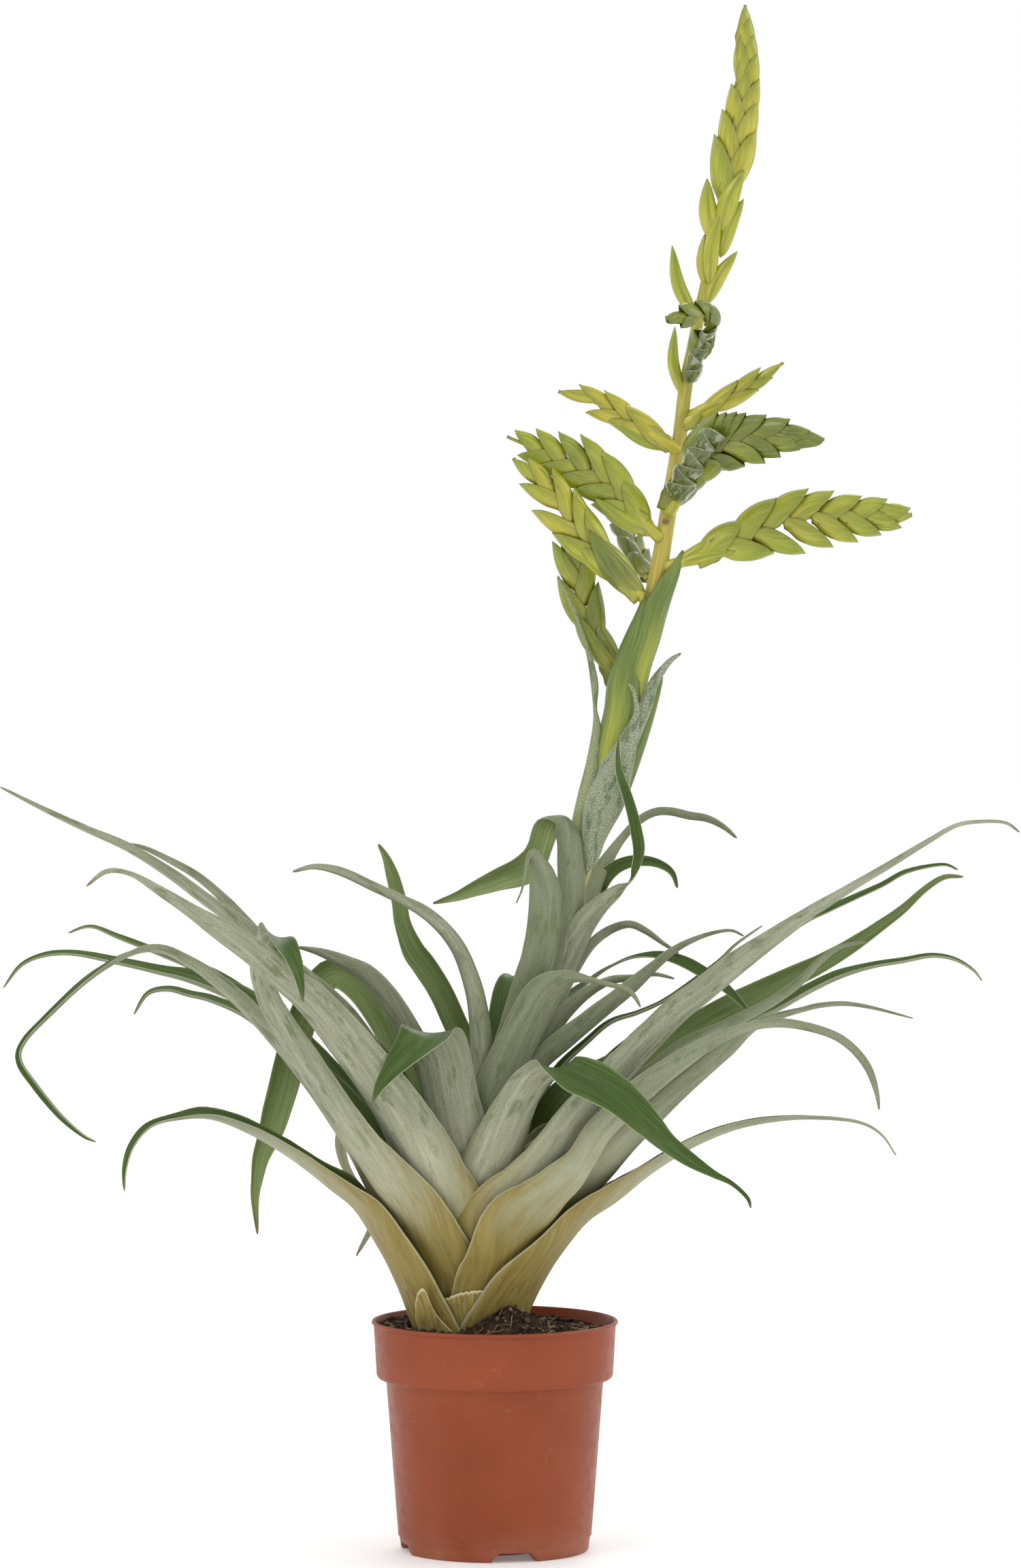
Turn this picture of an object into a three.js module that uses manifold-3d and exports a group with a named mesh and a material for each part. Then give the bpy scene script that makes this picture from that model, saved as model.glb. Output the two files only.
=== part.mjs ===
// A tillandsia in flower, in a plain plastic nursery pot. Millimetres, +Z up.
// The origin is the centre of the pot's foot, on the surface that the pot stands on.
// +X is to the right of someone who faces the plant, and -Y points to them.

import * as THREE from "three";
import { mergeVertices } from "three/addons/utils/BufferGeometryUtils.js";
import Module from "manifold-3d";

const wasm = await Module();
wasm.setup();

// ---- Driving dimensions ----

const POT_HEIGHT = 113.4;
const LIP_RADIUS = 60.6;
const LIP_DEPTH = 2.6;
const COLLAR_BOTTOM = 85;
const FOOT_RADIUS = 46.2;
const POT_WALL = 1.3;
const POT_FLOOR = 6; // top of the pot's bottom plate
const UNDERSIDE = 4; // the bottom plate's lower face, raised off the surface
const PAD_RADIUS = 22; // the middle of the bottom comes down to the surface again
const POT_SIDES = 32;
const NOTCH = { height: 4.5, top: 17.5, bottom: 22, turn: 12.5 };
const DRAIN = { radius: 4, ring: 31, count: 4 };

const SOIL_LEVEL = 111;
const MOUND = { x: 8, y: -27, spread: 11, height: 12 };
const DIP = { x: 42, y: 22, spread: 22, height: -4 };

const GAP = 0.3; // air kept between pieces that touch
const LEAF_THICKNESS = 0.9;
const TIP_THICKNESS = 0.65;
const CHANNEL = 58; // a blade's section is an arc of this half angle, in degrees
const SHEATH = { from: 140, to: 186 }; // heights between which a leaf leaves the rosette's funnel
const FOOT_CLEARANCE = 2.6; // from the core to the foot of a sheath

// The rosette's funnel is a surface of revolution round this upright line: [radius, height].
const ROSETTE = { x: -12, y: 0 };
const FUNNEL = [
  [22, 100], [25.5, 112], [28.5, 120], [36.5, 137], [44.5, 151], [52, 163], [60, 175], [90, 220], [125, 270],
];

// The trunk inside the funnel, on which the sheaths stand.
const CORE_SHOULDER = 106;
const CORE = [
  [0, 97], [24, 97.5], [26, 100], [25, 104], [21, CORE_SHOULDER], [15, 120], [10, 138], [6.5, 160], [0, 190],
];

// Routes are drawn on the front elevation as it looks from this point: a station's X and Z are read
// there, and its middle number is how far behind (+) or before (-) the pot's axis it lies.
const EYE = new THREE.Vector3(7.7, -3600, 557);

// ---- Materials ----

const finish = (color, roughness) => new THREE.MeshStandardMaterial({ color, roughness, metalness: 0 });
const PLASTIC = finish(0x8f4c35, 0.38);
const PEAT = finish(0x2f2018, 0.95);
const STALK = finish(0xb9ab4e, 0.5);
const LEAF = finish(0x98a287, 0.62);
const BRACT = finish(0xa3ac86, 0.6);
const SPIKE = finish(0x9aa83a, 0.35);

// ---- Solids ----

// Merges a geometry's corners and drops the faces that this leaves without area.
function weld(geometry) {
  geometry.deleteAttribute("normal");
  geometry.deleteAttribute("uv");
  const merged = mergeVertices(geometry, 1e-3);
  const faces = [];
  for (let i = 0; i < merged.index.count; i += 3) {
    const face = [merged.index.getX(i), merged.index.getX(i + 1), merged.index.getX(i + 2)];
    if (new Set(face).size === 3) faces.push(...face);
  }
  merged.setIndex(faces);
  return merged;
}

function solid(geometry) {
  const merged = weld(geometry);
  const vertProperties = Float32Array.from(merged.attributes.position.array);
  const triVerts = Uint32Array.from(merged.index.array);
  return new wasm.Manifold(new wasm.Mesh({ numProp: 3, vertProperties, triVerts }));
}

// The largest connected piece of a cut solid: the scraps that a cut leaves are dropped.
function mainBody(body) {
  const pieces = body.decompose();
  return pieces.reduce((best, piece) => (piece.volume() > best.volume() ? piece : best));
}

function meshOf(name, body, material) {
  const { vertProperties, triVerts } = mainBody(body).simplify(0.01).getMesh();
  const geometry = new THREE.BufferGeometry();
  geometry.setAttribute("position", new THREE.BufferAttribute(Float32Array.from(vertProperties), 3));
  geometry.setIndex(new THREE.BufferAttribute(Uint32Array.from(triVerts), 1));
  geometry.computeVertexNormals();
  const mesh = new THREE.Mesh(geometry, material);
  mesh.name = name;
  return mesh;
}

const union = (bodies) => bodies.reduce((whole, body) => whole.add(body));

const boxesMeet = (a, b) => [0, 1, 2].every((k) => a.min[k] < b.max[k] && b.min[k] < a.max[k]);

// Cuts each of the others away from a body, where their boxes meet.
function clearOf(body, others) {
  let rest = body;
  for (const other of others) {
    if (boxesMeet(rest.boundingBox(), other.boundingBox())) rest = rest.subtract(other);
  }
  return rest;
}

// A lathe round the Z axis: the profile is a list of [radius, height], from below to above.
function lathe(profile, sides) {
  const geometry = new THREE.LatheGeometry(profile.map(([r, z]) => new THREE.Vector2(r, z)), sides);
  return geometry.rotateX(Math.PI / 2);
}

// A closed pod along a line: place(t, angle) gives its surface from the foot, t = 0, to the tip, t = 1.
function pod(sides, rows, place) {
  const sphere = new THREE.SphereGeometry(1, sides, rows);
  const { position, uv } = sphere.attributes;
  for (let i = 0; i < position.count; i++) {
    const point = place(uv.getY(i), uv.getX(i) * 2 * Math.PI);
    position.setXYZ(i, point.x, point.y, point.z);
  }
  return solid(sphere);
}

// A thin sheet with both faces split alike: place(row, column) gives its middle, normal and thickness.
function sheet(rows, columns, place) {
  const corners = [];
  for (const side of [1, -1]) {
    for (let row = 0; row < rows; row++) {
      for (let column = 0; column < columns; column++) {
        const { middle, normal, thickness } = place(row, column);
        corners.push(...middle.clone().addScaledVector(normal, (side * thickness) / 2).toArray());
      }
    }
  }
  const at = (side, row, column) => (side * rows + row) * columns + column;
  const faces = [];
  const quad = (a, b, c, d) => faces.push(a, b, c, a, c, d);
  for (let row = 0; row + 1 < rows; row++) {
    for (let column = 0; column + 1 < columns; column++) {
      quad(at(0, row, column), at(0, row, column + 1), at(0, row + 1, column + 1), at(0, row + 1, column));
      const [a, b] = [at(1, row, column), at(1, row, column + 1)];
      const [c, d] = [at(1, row + 1, column + 1), at(1, row + 1, column)];
      faces.push(a, c, b, a, d, c);
    }
    const last = columns - 1;
    quad(at(1, row, 0), at(0, row, 0), at(0, row + 1, 0), at(1, row + 1, 0));
    quad(at(0, row, last), at(1, row, last), at(1, row + 1, last), at(0, row + 1, last));
  }
  for (let column = 0; column + 1 < columns; column++) {
    const last = rows - 1;
    quad(at(1, 0, column), at(1, 0, column + 1), at(0, 0, column + 1), at(0, 0, column));
    quad(at(0, last, column), at(0, last, column + 1), at(1, last, column + 1), at(1, last, column));
  }
  const geometry = new THREE.BufferGeometry();
  geometry.setAttribute("position", new THREE.Float32BufferAttribute(corners, 3));
  geometry.setIndex(faces);
  return solid(geometry);
}

// ---- Routes ----

const radians = (degrees) => (degrees * Math.PI) / 180;
const mix = (a, b, t) => a + (b - a) * t;
const smooth = (from, to, value) => THREE.MathUtils.smoothstep(value, from, to);

// The point that a station names: it slides along the line of sight from EYE to its depth.
function placed([x, depth, z]) {
  return EYE.clone().lerp(new THREE.Vector3(x, 0, z), 1 - depth / EYE.y);
}

const curveOf = (points) => new THREE.CatmullRomCurve3(points, false, "catmullrom", 0.5);

// The radius of a profile of [radius, height] points at a height within it.
function profileRadius(profile, height) {
  const next = Math.max(1, profile.findIndex(([, z]) => z > height));
  const [[r0, z0], [r1, z1]] = [profile[next - 1], profile[next]];
  return mix(r0, r1, (height - z0) / (z1 - z0));
}

const funnel = (height) => profileRadius(FUNNEL, height);

const coreRadius = (height) => profileRadius(CORE, height);

// The three stations that carry a leaf's sheath down the funnel from its first free station to its
// foot, the lowest height at which the sheath's own share of the funnel clears the core.
function sheathPoints(first, swell) {
  const [x, y] = [first.x - ROSETTE.x, first.y - ROSETTE.y];
  const share = Math.hypot(x, y) / funnel(first.z);
  const azimuth = Math.atan2(y, x);
  let foot = CORE_SHOULDER + 1;
  while (share * swell * funnel(foot) < coreRadius(foot) + FOOT_CLEARANCE && foot < first.z - 20) foot++;
  return [0, 1 / 3, 2 / 3].map((t) => {
    const z = mix(foot, first.z, t);
    const radius = share * funnel(z) * mix(swell, 1, t);
    return new THREE.Vector3(
      ROSETTE.x + radius * Math.cos(azimuth),
      ROSETTE.y + radius * Math.sin(azimuth),
      z,
    );
  });
}

// ---- Blades ----

const STEPS = 4; // samples from one station to the next, over which the blade's facing is carried

// A blade's samples: point, tangent, outward normal, width, and how far it has left the funnel.
function bladeSamples({ stations, sheath, facing, swell }) {
  const free = stations.map(placed);
  const base = sheath ? sheathPoints(free[0], swell ?? 1) : [];
  const points = [...base, ...free];
  const rolls = [];
  for (const station of stations) rolls.push(station[4] ?? rolls.at(-1) ?? 0);
  const widths = [...base.map(() => sheath), ...stations.map((station) => station[3])];
  const turns = [...base.map(() => 0), ...rolls];
  const traits = points.map((_, i) => new THREE.Vector3(widths[i], turns[i], 0));
  const [route, trait] = [curveOf(points), curveOf(traits)];
  const count = (points.length - 1) * STEPS;
  const samples = [];
  let normal = null;
  let left = sheath ? 0 : 1;
  for (let i = 0; i <= count; i++) {
    const point = route.getPoint(i / count);
    const tangent = route.getTangent(i / count);
    const { x: width, y: roll } = trait.getPoint(i / count);
    const outward = new THREE.Vector3(point.x - ROSETTE.x, point.y - ROSETTE.y, 0).normalize();
    if (!normal) normal = facing ? new THREE.Vector3(...facing) : outward.clone();
    normal = normal.clone().addScaledVector(tangent, -normal.dot(tangent)).normalize();
    left = Math.max(left, smooth(SHEATH.from, SHEATH.to, point.z));
    samples.push({
      point,
      tangent,
      outward,
      normal: normal.clone().applyAxisAngle(tangent, radians(roll * left)),
      width: Math.max(width, 0.8),
      left,
      along: i / count,
    });
  }
  return samples;
}

// A place on a blade: across runs from -1 to 1, from one margin to the other. In the funnel the
// section is an arc round the rosette's axis, and further out a channel whose chord is the width.
function bladePlace(sample, across, channel) {
  const { point, tangent, outward, normal, width, left } = sample;
  const up = outward.clone().lerp(normal, left).normalize();
  const sideways = tangent.clone().cross(up).normalize();
  const wall = Math.max(Math.hypot(point.x - ROSETTE.x, point.y - ROSETTE.y), 6);
  const cup = radians(channel);
  const bend = mix(width / 2 / wall, cup, left);
  const curve = mix(wall, width / 2 / Math.sin(cup), left);
  const centre = mix(1, Math.sin(bend) / bend, left);
  const angle = across * bend;
  const middle = point
    .clone()
    .addScaledVector(sideways, curve * Math.sin(angle))
    .addScaledVector(up, curve * (Math.cos(angle) - centre));
  const facing = sideways.multiplyScalar(Math.sin(angle)).addScaledVector(up, Math.cos(angle));
  return { middle, normal: facing.normalize() };
}

// The blade as a solid; extra thickness and width make the room that its neighbours leave it.
function bladeSolid(blade, extra = 0) {
  const samples = bladeSamples(blade).filter((_, i) => i % STEPS === 0);
  const columns = (blade.columns ?? 2) + 1;
  const channel = blade.channel ?? CHANNEL;
  return sheet(samples.length, columns, (row, column) => {
    const sample = samples[row];
    const widened = { ...sample, width: sample.width + 2 * extra };
    const across = (2 * column) / (columns - 1) - 1;
    const { middle, normal } = bladePlace(widened, across, channel);
    const thickness = mix(LEAF_THICKNESS, TIP_THICKNESS, sample.along) + 2 * extra;
    if (extra && row === samples.length - 1) middle.addScaledVector(sample.tangent, extra);
    if (extra && row === 0) middle.addScaledVector(sample.tangent, -extra);
    return { middle, normal, thickness };
  });
}

// ---- Leaves ----
// A station is [x, depth, z, width] and, where the blade's roll changes, the roll in degrees.
// The list runs from the leaves that keep their whole shape to those that give way to them.

const LEAVES = {
  leaf_left_low: {
    sheath: 72, swell: 1.17, columns: 4,
    stations: [
      [-67, -9, 170, 44], [-80, -14, 181, 31], [-100, -22, 195.5, 23], [-120, -30, 207, 19],
      [-140, -38, 214, 14], [-158, -45, 212.5, 7], [-170, -50, 208.5, 6], [-178, -54, 199, 5],
      [-181.5, -57, 188, 3.5], [-182, -58, 177, 1.2],
    ],
  },
  leaf_right_low: {
    sheath: 88, swell: 0.96, columns: 4,
    stations: [
      [44, -8, 163, 50], [58, -10, 174, 32], [74, -12, 186, 22], [88, -14, 195, 18], [100, -15, 201.5, 16],
      [115, -16, 207.5, 13], [130, -17, 211, 10], [147, -18, 212.8, 7], [165, -18, 212.5, 5],
      [180, -18, 210.3, 4], [190, -18, 204.5, 3], [197, -18, 194.5, 1.2],
    ],
  },
  leaf_right_front: {
    sheath: 53, columns: 4,
    stations: [
      [14, -40.5, 158, 36], [25.4, -44, 171.2, 27], [35.6, -47, 180.7, 27], [44, -48, 191.1, 20],
      [52, -50, 204.1, 18.5], [61, -51, 213.6, 18.5], [70, -52, 222.6, 18.5], [79, -54, 230.1, 17],
      [89, -55, 237.6, 15], [100.7, -56, 245.9, 11.5], [110.3, -56, 251.2, 9], [121, -56, 256, 6.5],
      [134, -56, 258.8, 6.5], [147.7, -56, 258.3, 6], [164, -56, 254, 5.5], [174.5, -56, 247.5, 5.5],
      [182.7, -56, 237.4, 5], [187, -56, 226, 3], [188.7, -56, 217, 1.2],
    ],
  },
  leaf_front: {
    sheath: 44, channel: 34,
    stations: [
      [-6, -34, 178, 34], [-1, -37, 190, 30], [2.5, -40, 200, 27], [5.5, -43, 208, 24],
      [10.5, -47, 219, 20.5], [16.5, -53, 229, 18.5], [22.5, -60, 235, 17], [27.5, -69, 238, 17, 10],
      [33, -79, 237.5, 18, 45], [41, -87, 233.5, 20, 70], [50, -92, 229.5, 20.5], [62, -98, 222, 18],
      [74.5, -104, 210.2, 14], [84.5, -109, 200.3, 9.8], [95.5, -115, 192.2, 7.5], [107, -119, 185.3, 4],
      [116.5, -121, 180.4, 2.4], [123.8, -123, 173.7, 2], [125.8, -124, 168.5, 1.2],
    ],
  },
  leaf_front_left: {
    sheath: 60, columns: 4,
    stations: [
      [-30, -36, 172, 44], [-38, -44, 194, 36], [-48, -52, 213, 31], [-61, -60, 232, 28],
      [-75, -68, 250, 26], [-90, -73, 268, 22], [-105, -77, 281, 19], [-120, -80, 293.5, 17],
      [-135, -83, 304, 14], [-150, -85, 314.5, 9], [-165, -87, 324.5, 6], [-178, -88, 332.5, 3],
      [-190, -89, 334, 3], [-200, -89, 327, 1.2],
    ],
  },
  leaf_left_front: {
    sheath: 60, columns: 4, channel: 42,
    stations: [
      [-46, -34, 170, 46], [-58, -40, 188, 34], [-70, -46, 203, 28], [-84, -51, 224, 25],
      [-96, -54, 243, 23], [-106, -55, 258, 21], [-113, -54, 272, 19], [-117, -52, 286, 16],
      [-113, -54, 298, 15, -20], [-107, -62, 303.5, 14, -55], [-101, -82, 299, 10], [-97.5, -90, 290, 7],
      [-95, -94, 281, 4.5], [-93.5, -96, 268.5, 1.2],
    ],
  },
  leaf_fold_left: {
    sheath: 40, channel: 26,
    stations: [
      [-14, -33, 186, 26], [-16, -35, 200, 27], [-19, -37, 213, 27], [-22.3, -39, 229, 25.5],
      [-24.8, -41, 241, 25.5], [-28, -44, 250.5, 27, -10], [-32, -51, 255.5, 26, -28],
      [-35, -60, 253.5, 25, -38], [-39.5, -65, 248.5, 20], [-45.5, -69, 242, 15], [-51.5, -73, 235, 10],
      [-56.5, -76, 228, 5.5], [-60, -78, 220.5, 1.2],
    ],
  },
  leaf_right_big: {
    sheath: 60, columns: 4,
    stations: [
      [5, -37, 163, 36], [17, -39.5, 179, 29], [25.5, -41, 189.5, 25], [32.5, -43, 199.5, 23],
      [40, -43, 210.5, 21], [48, -43, 219.5, 20], [61.5, -43, 235, 19], [73, -43, 247.5, 18],
      [90, -43.5, 264.5, 16.5], [101, -44, 273, 15.5], [118, -44, 287, 14.5], [135, -44, 299.5, 11],
      [155, -44, 313.5, 7.5], [175, -44, 326, 5], [195, -44, 338, 4], [212, -44, 348.5, 3],
      [226, -44, 356.5, 2.3], [238, -44, 358.5, 1.8], [250, -44, 358, 1.5], [257, -44, 353.5, 1],
    ],
  },
  leaf_centre_right: {
    sheath: 36,
    stations: [
      [-5, -25, 190, 24], [-1, -27, 212, 25], [4, -29, 229, 24], [8, -31, 240, 22], [13, -34, 251, 21],
      [18.5, -38, 262, 21], [24, -42, 272, 20], [30, -46, 279, 17], [38, -50, 282, 11], [46, -53, 281, 7],
      [55, -56, 279, 5], [63, -58, 276.5, 4.5], [68, -60, 273, 3.5], [71.5, -62, 267.5, 1.4],
    ],
  },
  leaf_centre_arch: {
    sheath: 18,
    stations: [
      [-9, -23, 200, 13], [-8, -25, 225, 13], [-6.5, -26, 248, 11], [-8.3, -27, 268, 9.5],
      [-11.8, -26, 282, 8.5], [-17, -27, 295, 7.5], [-24, -28, 305, 6.8], [-34, -27, 314, 6],
      [-45, -28, 320, 4.8], [-60, -29, 327, 4.5], [-75, -30, 334, 4.2], [-88, -31, 336.5, 2.6],
      [-99, -32, 334, 1.2],
    ],
  },
  leaf_tall_centre: {
    sheath: 16,
    stations: [
      [-4, -14, 200, 20], [2, -17, 225, 20], [10, -20, 250, 19], [19, -25, 275, 19], [22.3, -27, 290, 18],
      [24.5, -28, 304, 17.5], [26.2, -29, 315, 17], [26, -30, 326, 16.5], [24, -31, 336, 14],
      [19.5, -34, 342.5, 9], [15, -39, 338, 6], [12, -43, 329, 4], [10.5, -45, 318, 1.5],
    ],
  },
  leaf_left_high: {
    sheath: 24,
    stations: [
      [-24, -12, 175, 28], [-35, -14, 195, 24], [-55, -18, 228, 20], [-78, -22, 260, 16],
      [-100, -26, 286, 13], [-120, -30, 304, 11], [-140, -33, 318, 9.5], [-160, -36, 333, 8],
      [-180, -38, 345.5, 6.5], [-200, -39, 354.5, 5], [-220, -40, 364, 3.5], [-242, -41, 375.5, 1.2],
    ],
  },
  leaf_left_green: {
    sheath: 18,
    stations: [
      [-26, 2, 175, 27.2], [-34, 4, 205, 22.9], [-52, 6, 238, 20.4], [-72, 8, 263, 17.8],
      [-95, 9, 284, 15.3], [-115, 10, 301, 13.6], [-130, 10, 317, 11.9], [-145, 10, 330.5, 10.2],
      [-160, 10, 339.5, 7.6], [-172, 10, 345.5, 5.1], [-182, 10, 348, 1.7],
    ],
  },
  leaf_left_hook: {
    sheath: 26,
    stations: [
      [-56, 9, 172, 34], [-68, 10, 194, 24], [-80, 12, 212, 20], [-92, 14, 230, 18], [-105, 16, 247, 19],
      [-120, 18, 264, 18], [-135, 18, 278, 16], [-150, 18, 289, 12], [-165, 17, 295.5, 10],
      [-180, 16, 293, 8], [-200, 14, 280.5, 7], [-220, 12, 262, 6], [-231, 10, 250, 6], [-233, 8, 241, 6],
      [-226, 6, 230, 6], [-214, 4, 215, 5], [-203, 2, 205, 3], [-196, 0, 201, 1.2],
    ],
  },
  leaf_left_mid: {
    sheath: 22,
    stations: [
      [-50, 24, 165, 30], [-70, 40, 205, 22], [-95, 52, 243, 18], [-120, 60, 268, 19.5],
      [-145, 66, 280, 15.6], [-165, 70, 285, 10], [-185, 72, 289.5, 8], [-205, 74, 293.5, 6],
      [-220, 74, 293, 5], [-232, 72, 288, 3.5], [-241, 70, 277, 1.2],
    ],
  },
  leaf_left_thin: {
    sheath: 16,
    stations: [
      [-40, 30, 170, 26], [-62, 50, 210, 18], [-95, 66, 250, 13], [-130, 76, 278, 9], [-150, 80, 288, 7],
      [-171, 83, 296.5, 5], [-185, 84, 302, 4], [-198, 84, 307, 2.5], [-209, 83, 304, 1.2],
    ],
  },
  leaf_left_short: {
    sheath: 14,
    stations: [
      [-38, 14, 170, 26], [-60, 22, 205, 20], [-82, 30, 230, 16], [-100, 38, 245, 13], [-120, 44, 262, 10],
      [-138, 48, 270.5, 8], [-150, 50, 273.5, 7], [-160, 51, 276, 6], [-170, 51, 274, 4.5],
      [-177, 50, 264, 1.5],
    ],
  },
  leaf_left_loop: {
    sheath: 14,
    stations: [
      [-26, 14, 180, 20], [-36, 24, 215, 19], [-52, 34, 250, 18, 0], [-66, 40, 275, 16],
      [-79, 43, 284, 15], [-90, 44, 272, 14, -60], [-98, 43, 250, 15], [-103.2, 42, 230, 15],
      [-107.2, 41, 216, 14], [-110.2, 40, 205.4, 12], [-114.8, 39, 193.5, 8.5], [-116.7, 38, 183, 6],
      [-117.8, 37, 172.7, 4], [-116.6, 36, 155.6, 1.2],
    ],
  },
  leaf_left_inner: {
    sheath: 16,
    stations: [
      [-18, -6, 185, 20], [-26, -10, 208, 19], [-34, -13, 235, 18], [-43, -15, 253, 17],
      [-53, -17, 270, 16], [-63, -19, 282, 14], [-74, -21, 288.5, 11], [-86, -22, 294, 6],
      [-97, -23, 297, 1.5],
    ],
  },
  leaf_centre_twist: {
    sheath: 12,
    stations: [
      [-10, 4, 200, 14], [-11, 6, 225, 14], [-14, 9, 248, 13], [-19.5, 11, 262, 13], [-26, 13, 276, 13],
      [-33.5, 15, 288, 13], [-39.3, 16, 296, 12], [-44.3, 17, 308, 9], [-46.4, 18, 320, 8],
      [-49.6, 19, 332, 7], [-53, 20, 341, 4], [-57, 21, 347.5, 1.3],
    ],
  },
  leaf_centre_back: {
    sheath: 10,
    stations: [
      [-4, 12, 210, 20], [0, 18, 240, 16], [3, 24, 262, 13], [5, 30, 276, 11], [8, 38, 283, 9],
      [13, 48, 281, 6], [18, 58, 272, 1.5],
    ],
  },
  leaf_stalk_fold: {
    sheath: 9,
    stations: [
      [8, -8, 240, 14], [22, -9, 272, 15], [34, -10, 293, 15], [40.5, -11, 312, 15], [40.5, -12, 328, 14],
      [38.5, -13, 342, 13], [36.5, -14, 354, 13], [31.5, -14, 361.5, 13], [26, -12, 357, 11],
      [23, -9, 349, 9], [19, -5, 341, 9], [12, -1, 334, 10.5], [2, 4, 329.5, 9], [-8, 8, 326, 6.4],
      [-18.5, 11, 322, 3.5], [-33.5, 12, 317.5, 1.3],
    ],
  },
  leaf_stalk_curl: {
    sheath: 9,
    stations: [
      [14, -4, 240, 18], [26, -6, 268, 16], [36, -9, 292, 15], [43, -12, 306, 13], [52, -14, 317, 10],
      [61, -15, 325, 6], [67, -16, 330, 2.5], [69, -16, 337, 5], [70.3, -17, 345, 6], [69, -18, 354, 6],
      [67, -18, 363, 5.5], [64, -18, 373, 5], [61, -18, 382, 4], [60, -18, 391, 2.5], [60.5, -18, 400, 1],
    ],
  },
  leaf_arch_thin: {
    sheath: 7,
    stations: [
      [14, 1, 230, 12], [23, 2, 252, 10], [32, 4, 270, 9], [40, 6, 286, 8], [48, 8, 298, 7],
      [57, 11, 305, 6], [66, 11, 307.7, 5], [74, 12, 304.5, 4], [82, 13, 299, 2.5], [90, 14, 294, 1.2],
    ],
  },
  leaf_arch_twist: {
    sheath: 8,
    stations: [
      [12, 16, 215, 14], [20, 17, 240, 12], [28, 18, 262, 10], [37, 19, 273.5, 9], [46, 19, 280, 7],
      [55, 19, 286.5, 4], [66, 19, 291.5, 3], [77, 18, 293, 4], [86, 16, 291.5, 6], [94, 13, 288.5, 7],
      [102, 10, 284, 7], [110, 6, 279, 6], [118, 2, 272, 4], [125, -3, 264.5, 1.2],
    ],
  },
  leaf_dark_short: {
    sheath: 7,
    stations: [
      [26, 25, 262, 14], [38, 26, 285, 12], [44, 27, 300, 11], [47, 28, 316, 9], [52, 29, 328, 6],
      [58, 30, 335, 5], [66, 31, 338.7, 5], [75, 33, 339, 5], [82, 34, 337, 4], [87, 35, 333, 3],
      [89.5, 35, 326, 1.2],
    ],
  },
  leaf_long_thin: {
    sheath: 6,
    stations: [
      [24, 30, 255, 14], [36, 32, 282, 12], [43, 35, 300, 11], [46, 38, 318, 9], [51, 41, 332, 7],
      [57, 43, 342.5, 5], [63, 44, 351, 4], [70, 44, 358.5, 4], [78, 44, 363, 4], [86, 44, 363.5, 4],
      [95, 44, 361.5, 4], [104, 44, 360, 3.5], [112, 44, 356, 2.5], [118.5, 44, 350.5, 1.1],
    ],
  },
  leaf_right_grey: {
    sheath: 20,
    stations: [
      [12, -22, 180, 28], [28, -24, 196, 24], [45, -26, 208, 20], [63, -28, 222, 17], [80, -29, 236, 14],
      [95, -30, 248, 12], [110, -30, 255.5, 10], [125, -30, 263, 9], [138, -29, 270.5, 8],
      [150, -28, 279.5, 7], [160, -27, 290, 5], [170, -26, 297, 3], [182, -25, 299.5, 1.2],
    ],
  },
  leaf_right_centre: {
    sheath: 16,
    stations: [
      [4, -12, 200, 14], [13, -16, 222, 16], [22, -19, 238, 18], [34, -22, 249, 19], [46, -25, 259, 17],
      [57, -28, 268, 15], [68, -31, 277, 13], [78, -34, 286.5, 9], [88, -36, 295, 6.5],
      [98, -38, 300.5, 4.5], [108, -38, 304, 3], [116, -38, 305, 2.2], [122, -38, 302.5, 1.2],
    ],
  },
  leaf_grey_centre: {
    sheath: 8,
    stations: [
      [18, -11, 235, 13], [24, -12, 248, 11], [32, -13, 261, 10], [41, -14, 270.5, 8], [50, -15, 277, 6],
      [58, -16, 280.5, 5], [68, -17, 281.5, 4], [78, -18, 283.5, 2.5], [88, -18, 281.5, 1.2],
    ],
  },
  leaf_right_under: {
    sheath: 30,
    stations: [
      [30, -14, 166, 40, 0], [47.5, -16, 182, 28, -28], [63.7, -18, 198.8, 22], [78.7, -19, 213.6, 18],
      [91.9, -20, 226.3, 16], [104.7, -20, 237.5, 14], [116.3, -19, 247.5, 12], [127, -18, 257, 9.5, -12],
      [138, -17, 262, 7], [150, -16, 265.6, 6.2, 0], [160, -16, 268, 6], [172, -16, 268.8, 5],
      [185, -16, 267, 3.5], [205, -16, 262, 1.2],
    ],
  },
  leaf_right_green: {
    sheath: 20,
    stations: [
      [24, 10, 172, 28], [38, 11, 190, 22], [60, 12, 215, 18], [85, 13, 237, 15], [105, 13, 250, 13],
      [125, 13, 260.1, 12.8], [140, 13, 267.6, 11.8], [155, 13, 276.1, 10.8], [170, 13, 283.1, 9.8],
      [185, 13, 287.5, 7], [200, 13, 290, 6], [214, 13, 292.5, 5], [225, 13, 291, 4], [234, 13, 286, 2.5],
      [239, 13, 280.5, 1.1],
    ],
  },
  leaf_right_dark: {
    sheath: 18,
    stations: [
      [10, 2, 185, 26, 0], [22, 5, 205, 26], [38, 8, 222, 23, 55], [58, 12, 235, 18],
      [80.4, 17, 246.2, 15.8], [98.4, 23, 256.2, 15.2], [115.4, 27, 265.7, 15.2], [130.4, 31, 273.2, 14.2],
      [145.4, 32, 280.7, 12.7], [160.5, 32, 288.2, 10.6], [175.5, 32, 297.2, 8.6], [190.4, 32, 307.8, 6.3],
      [200.4, 32, 315.4, 5], [210.2, 32, 324.6, 3.6], [220, 32, 331, 3], [229.5, 32, 331.5, 1.4],
    ],
  },
  leaf_right_thread: {
    sheath: 7,
    stations: [
      [10, 6, 205, 12], [30, 9, 235, 9], [45, 11, 250, 7], [57, 13, 260, 6], [70, 16, 264.5, 5],
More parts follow.
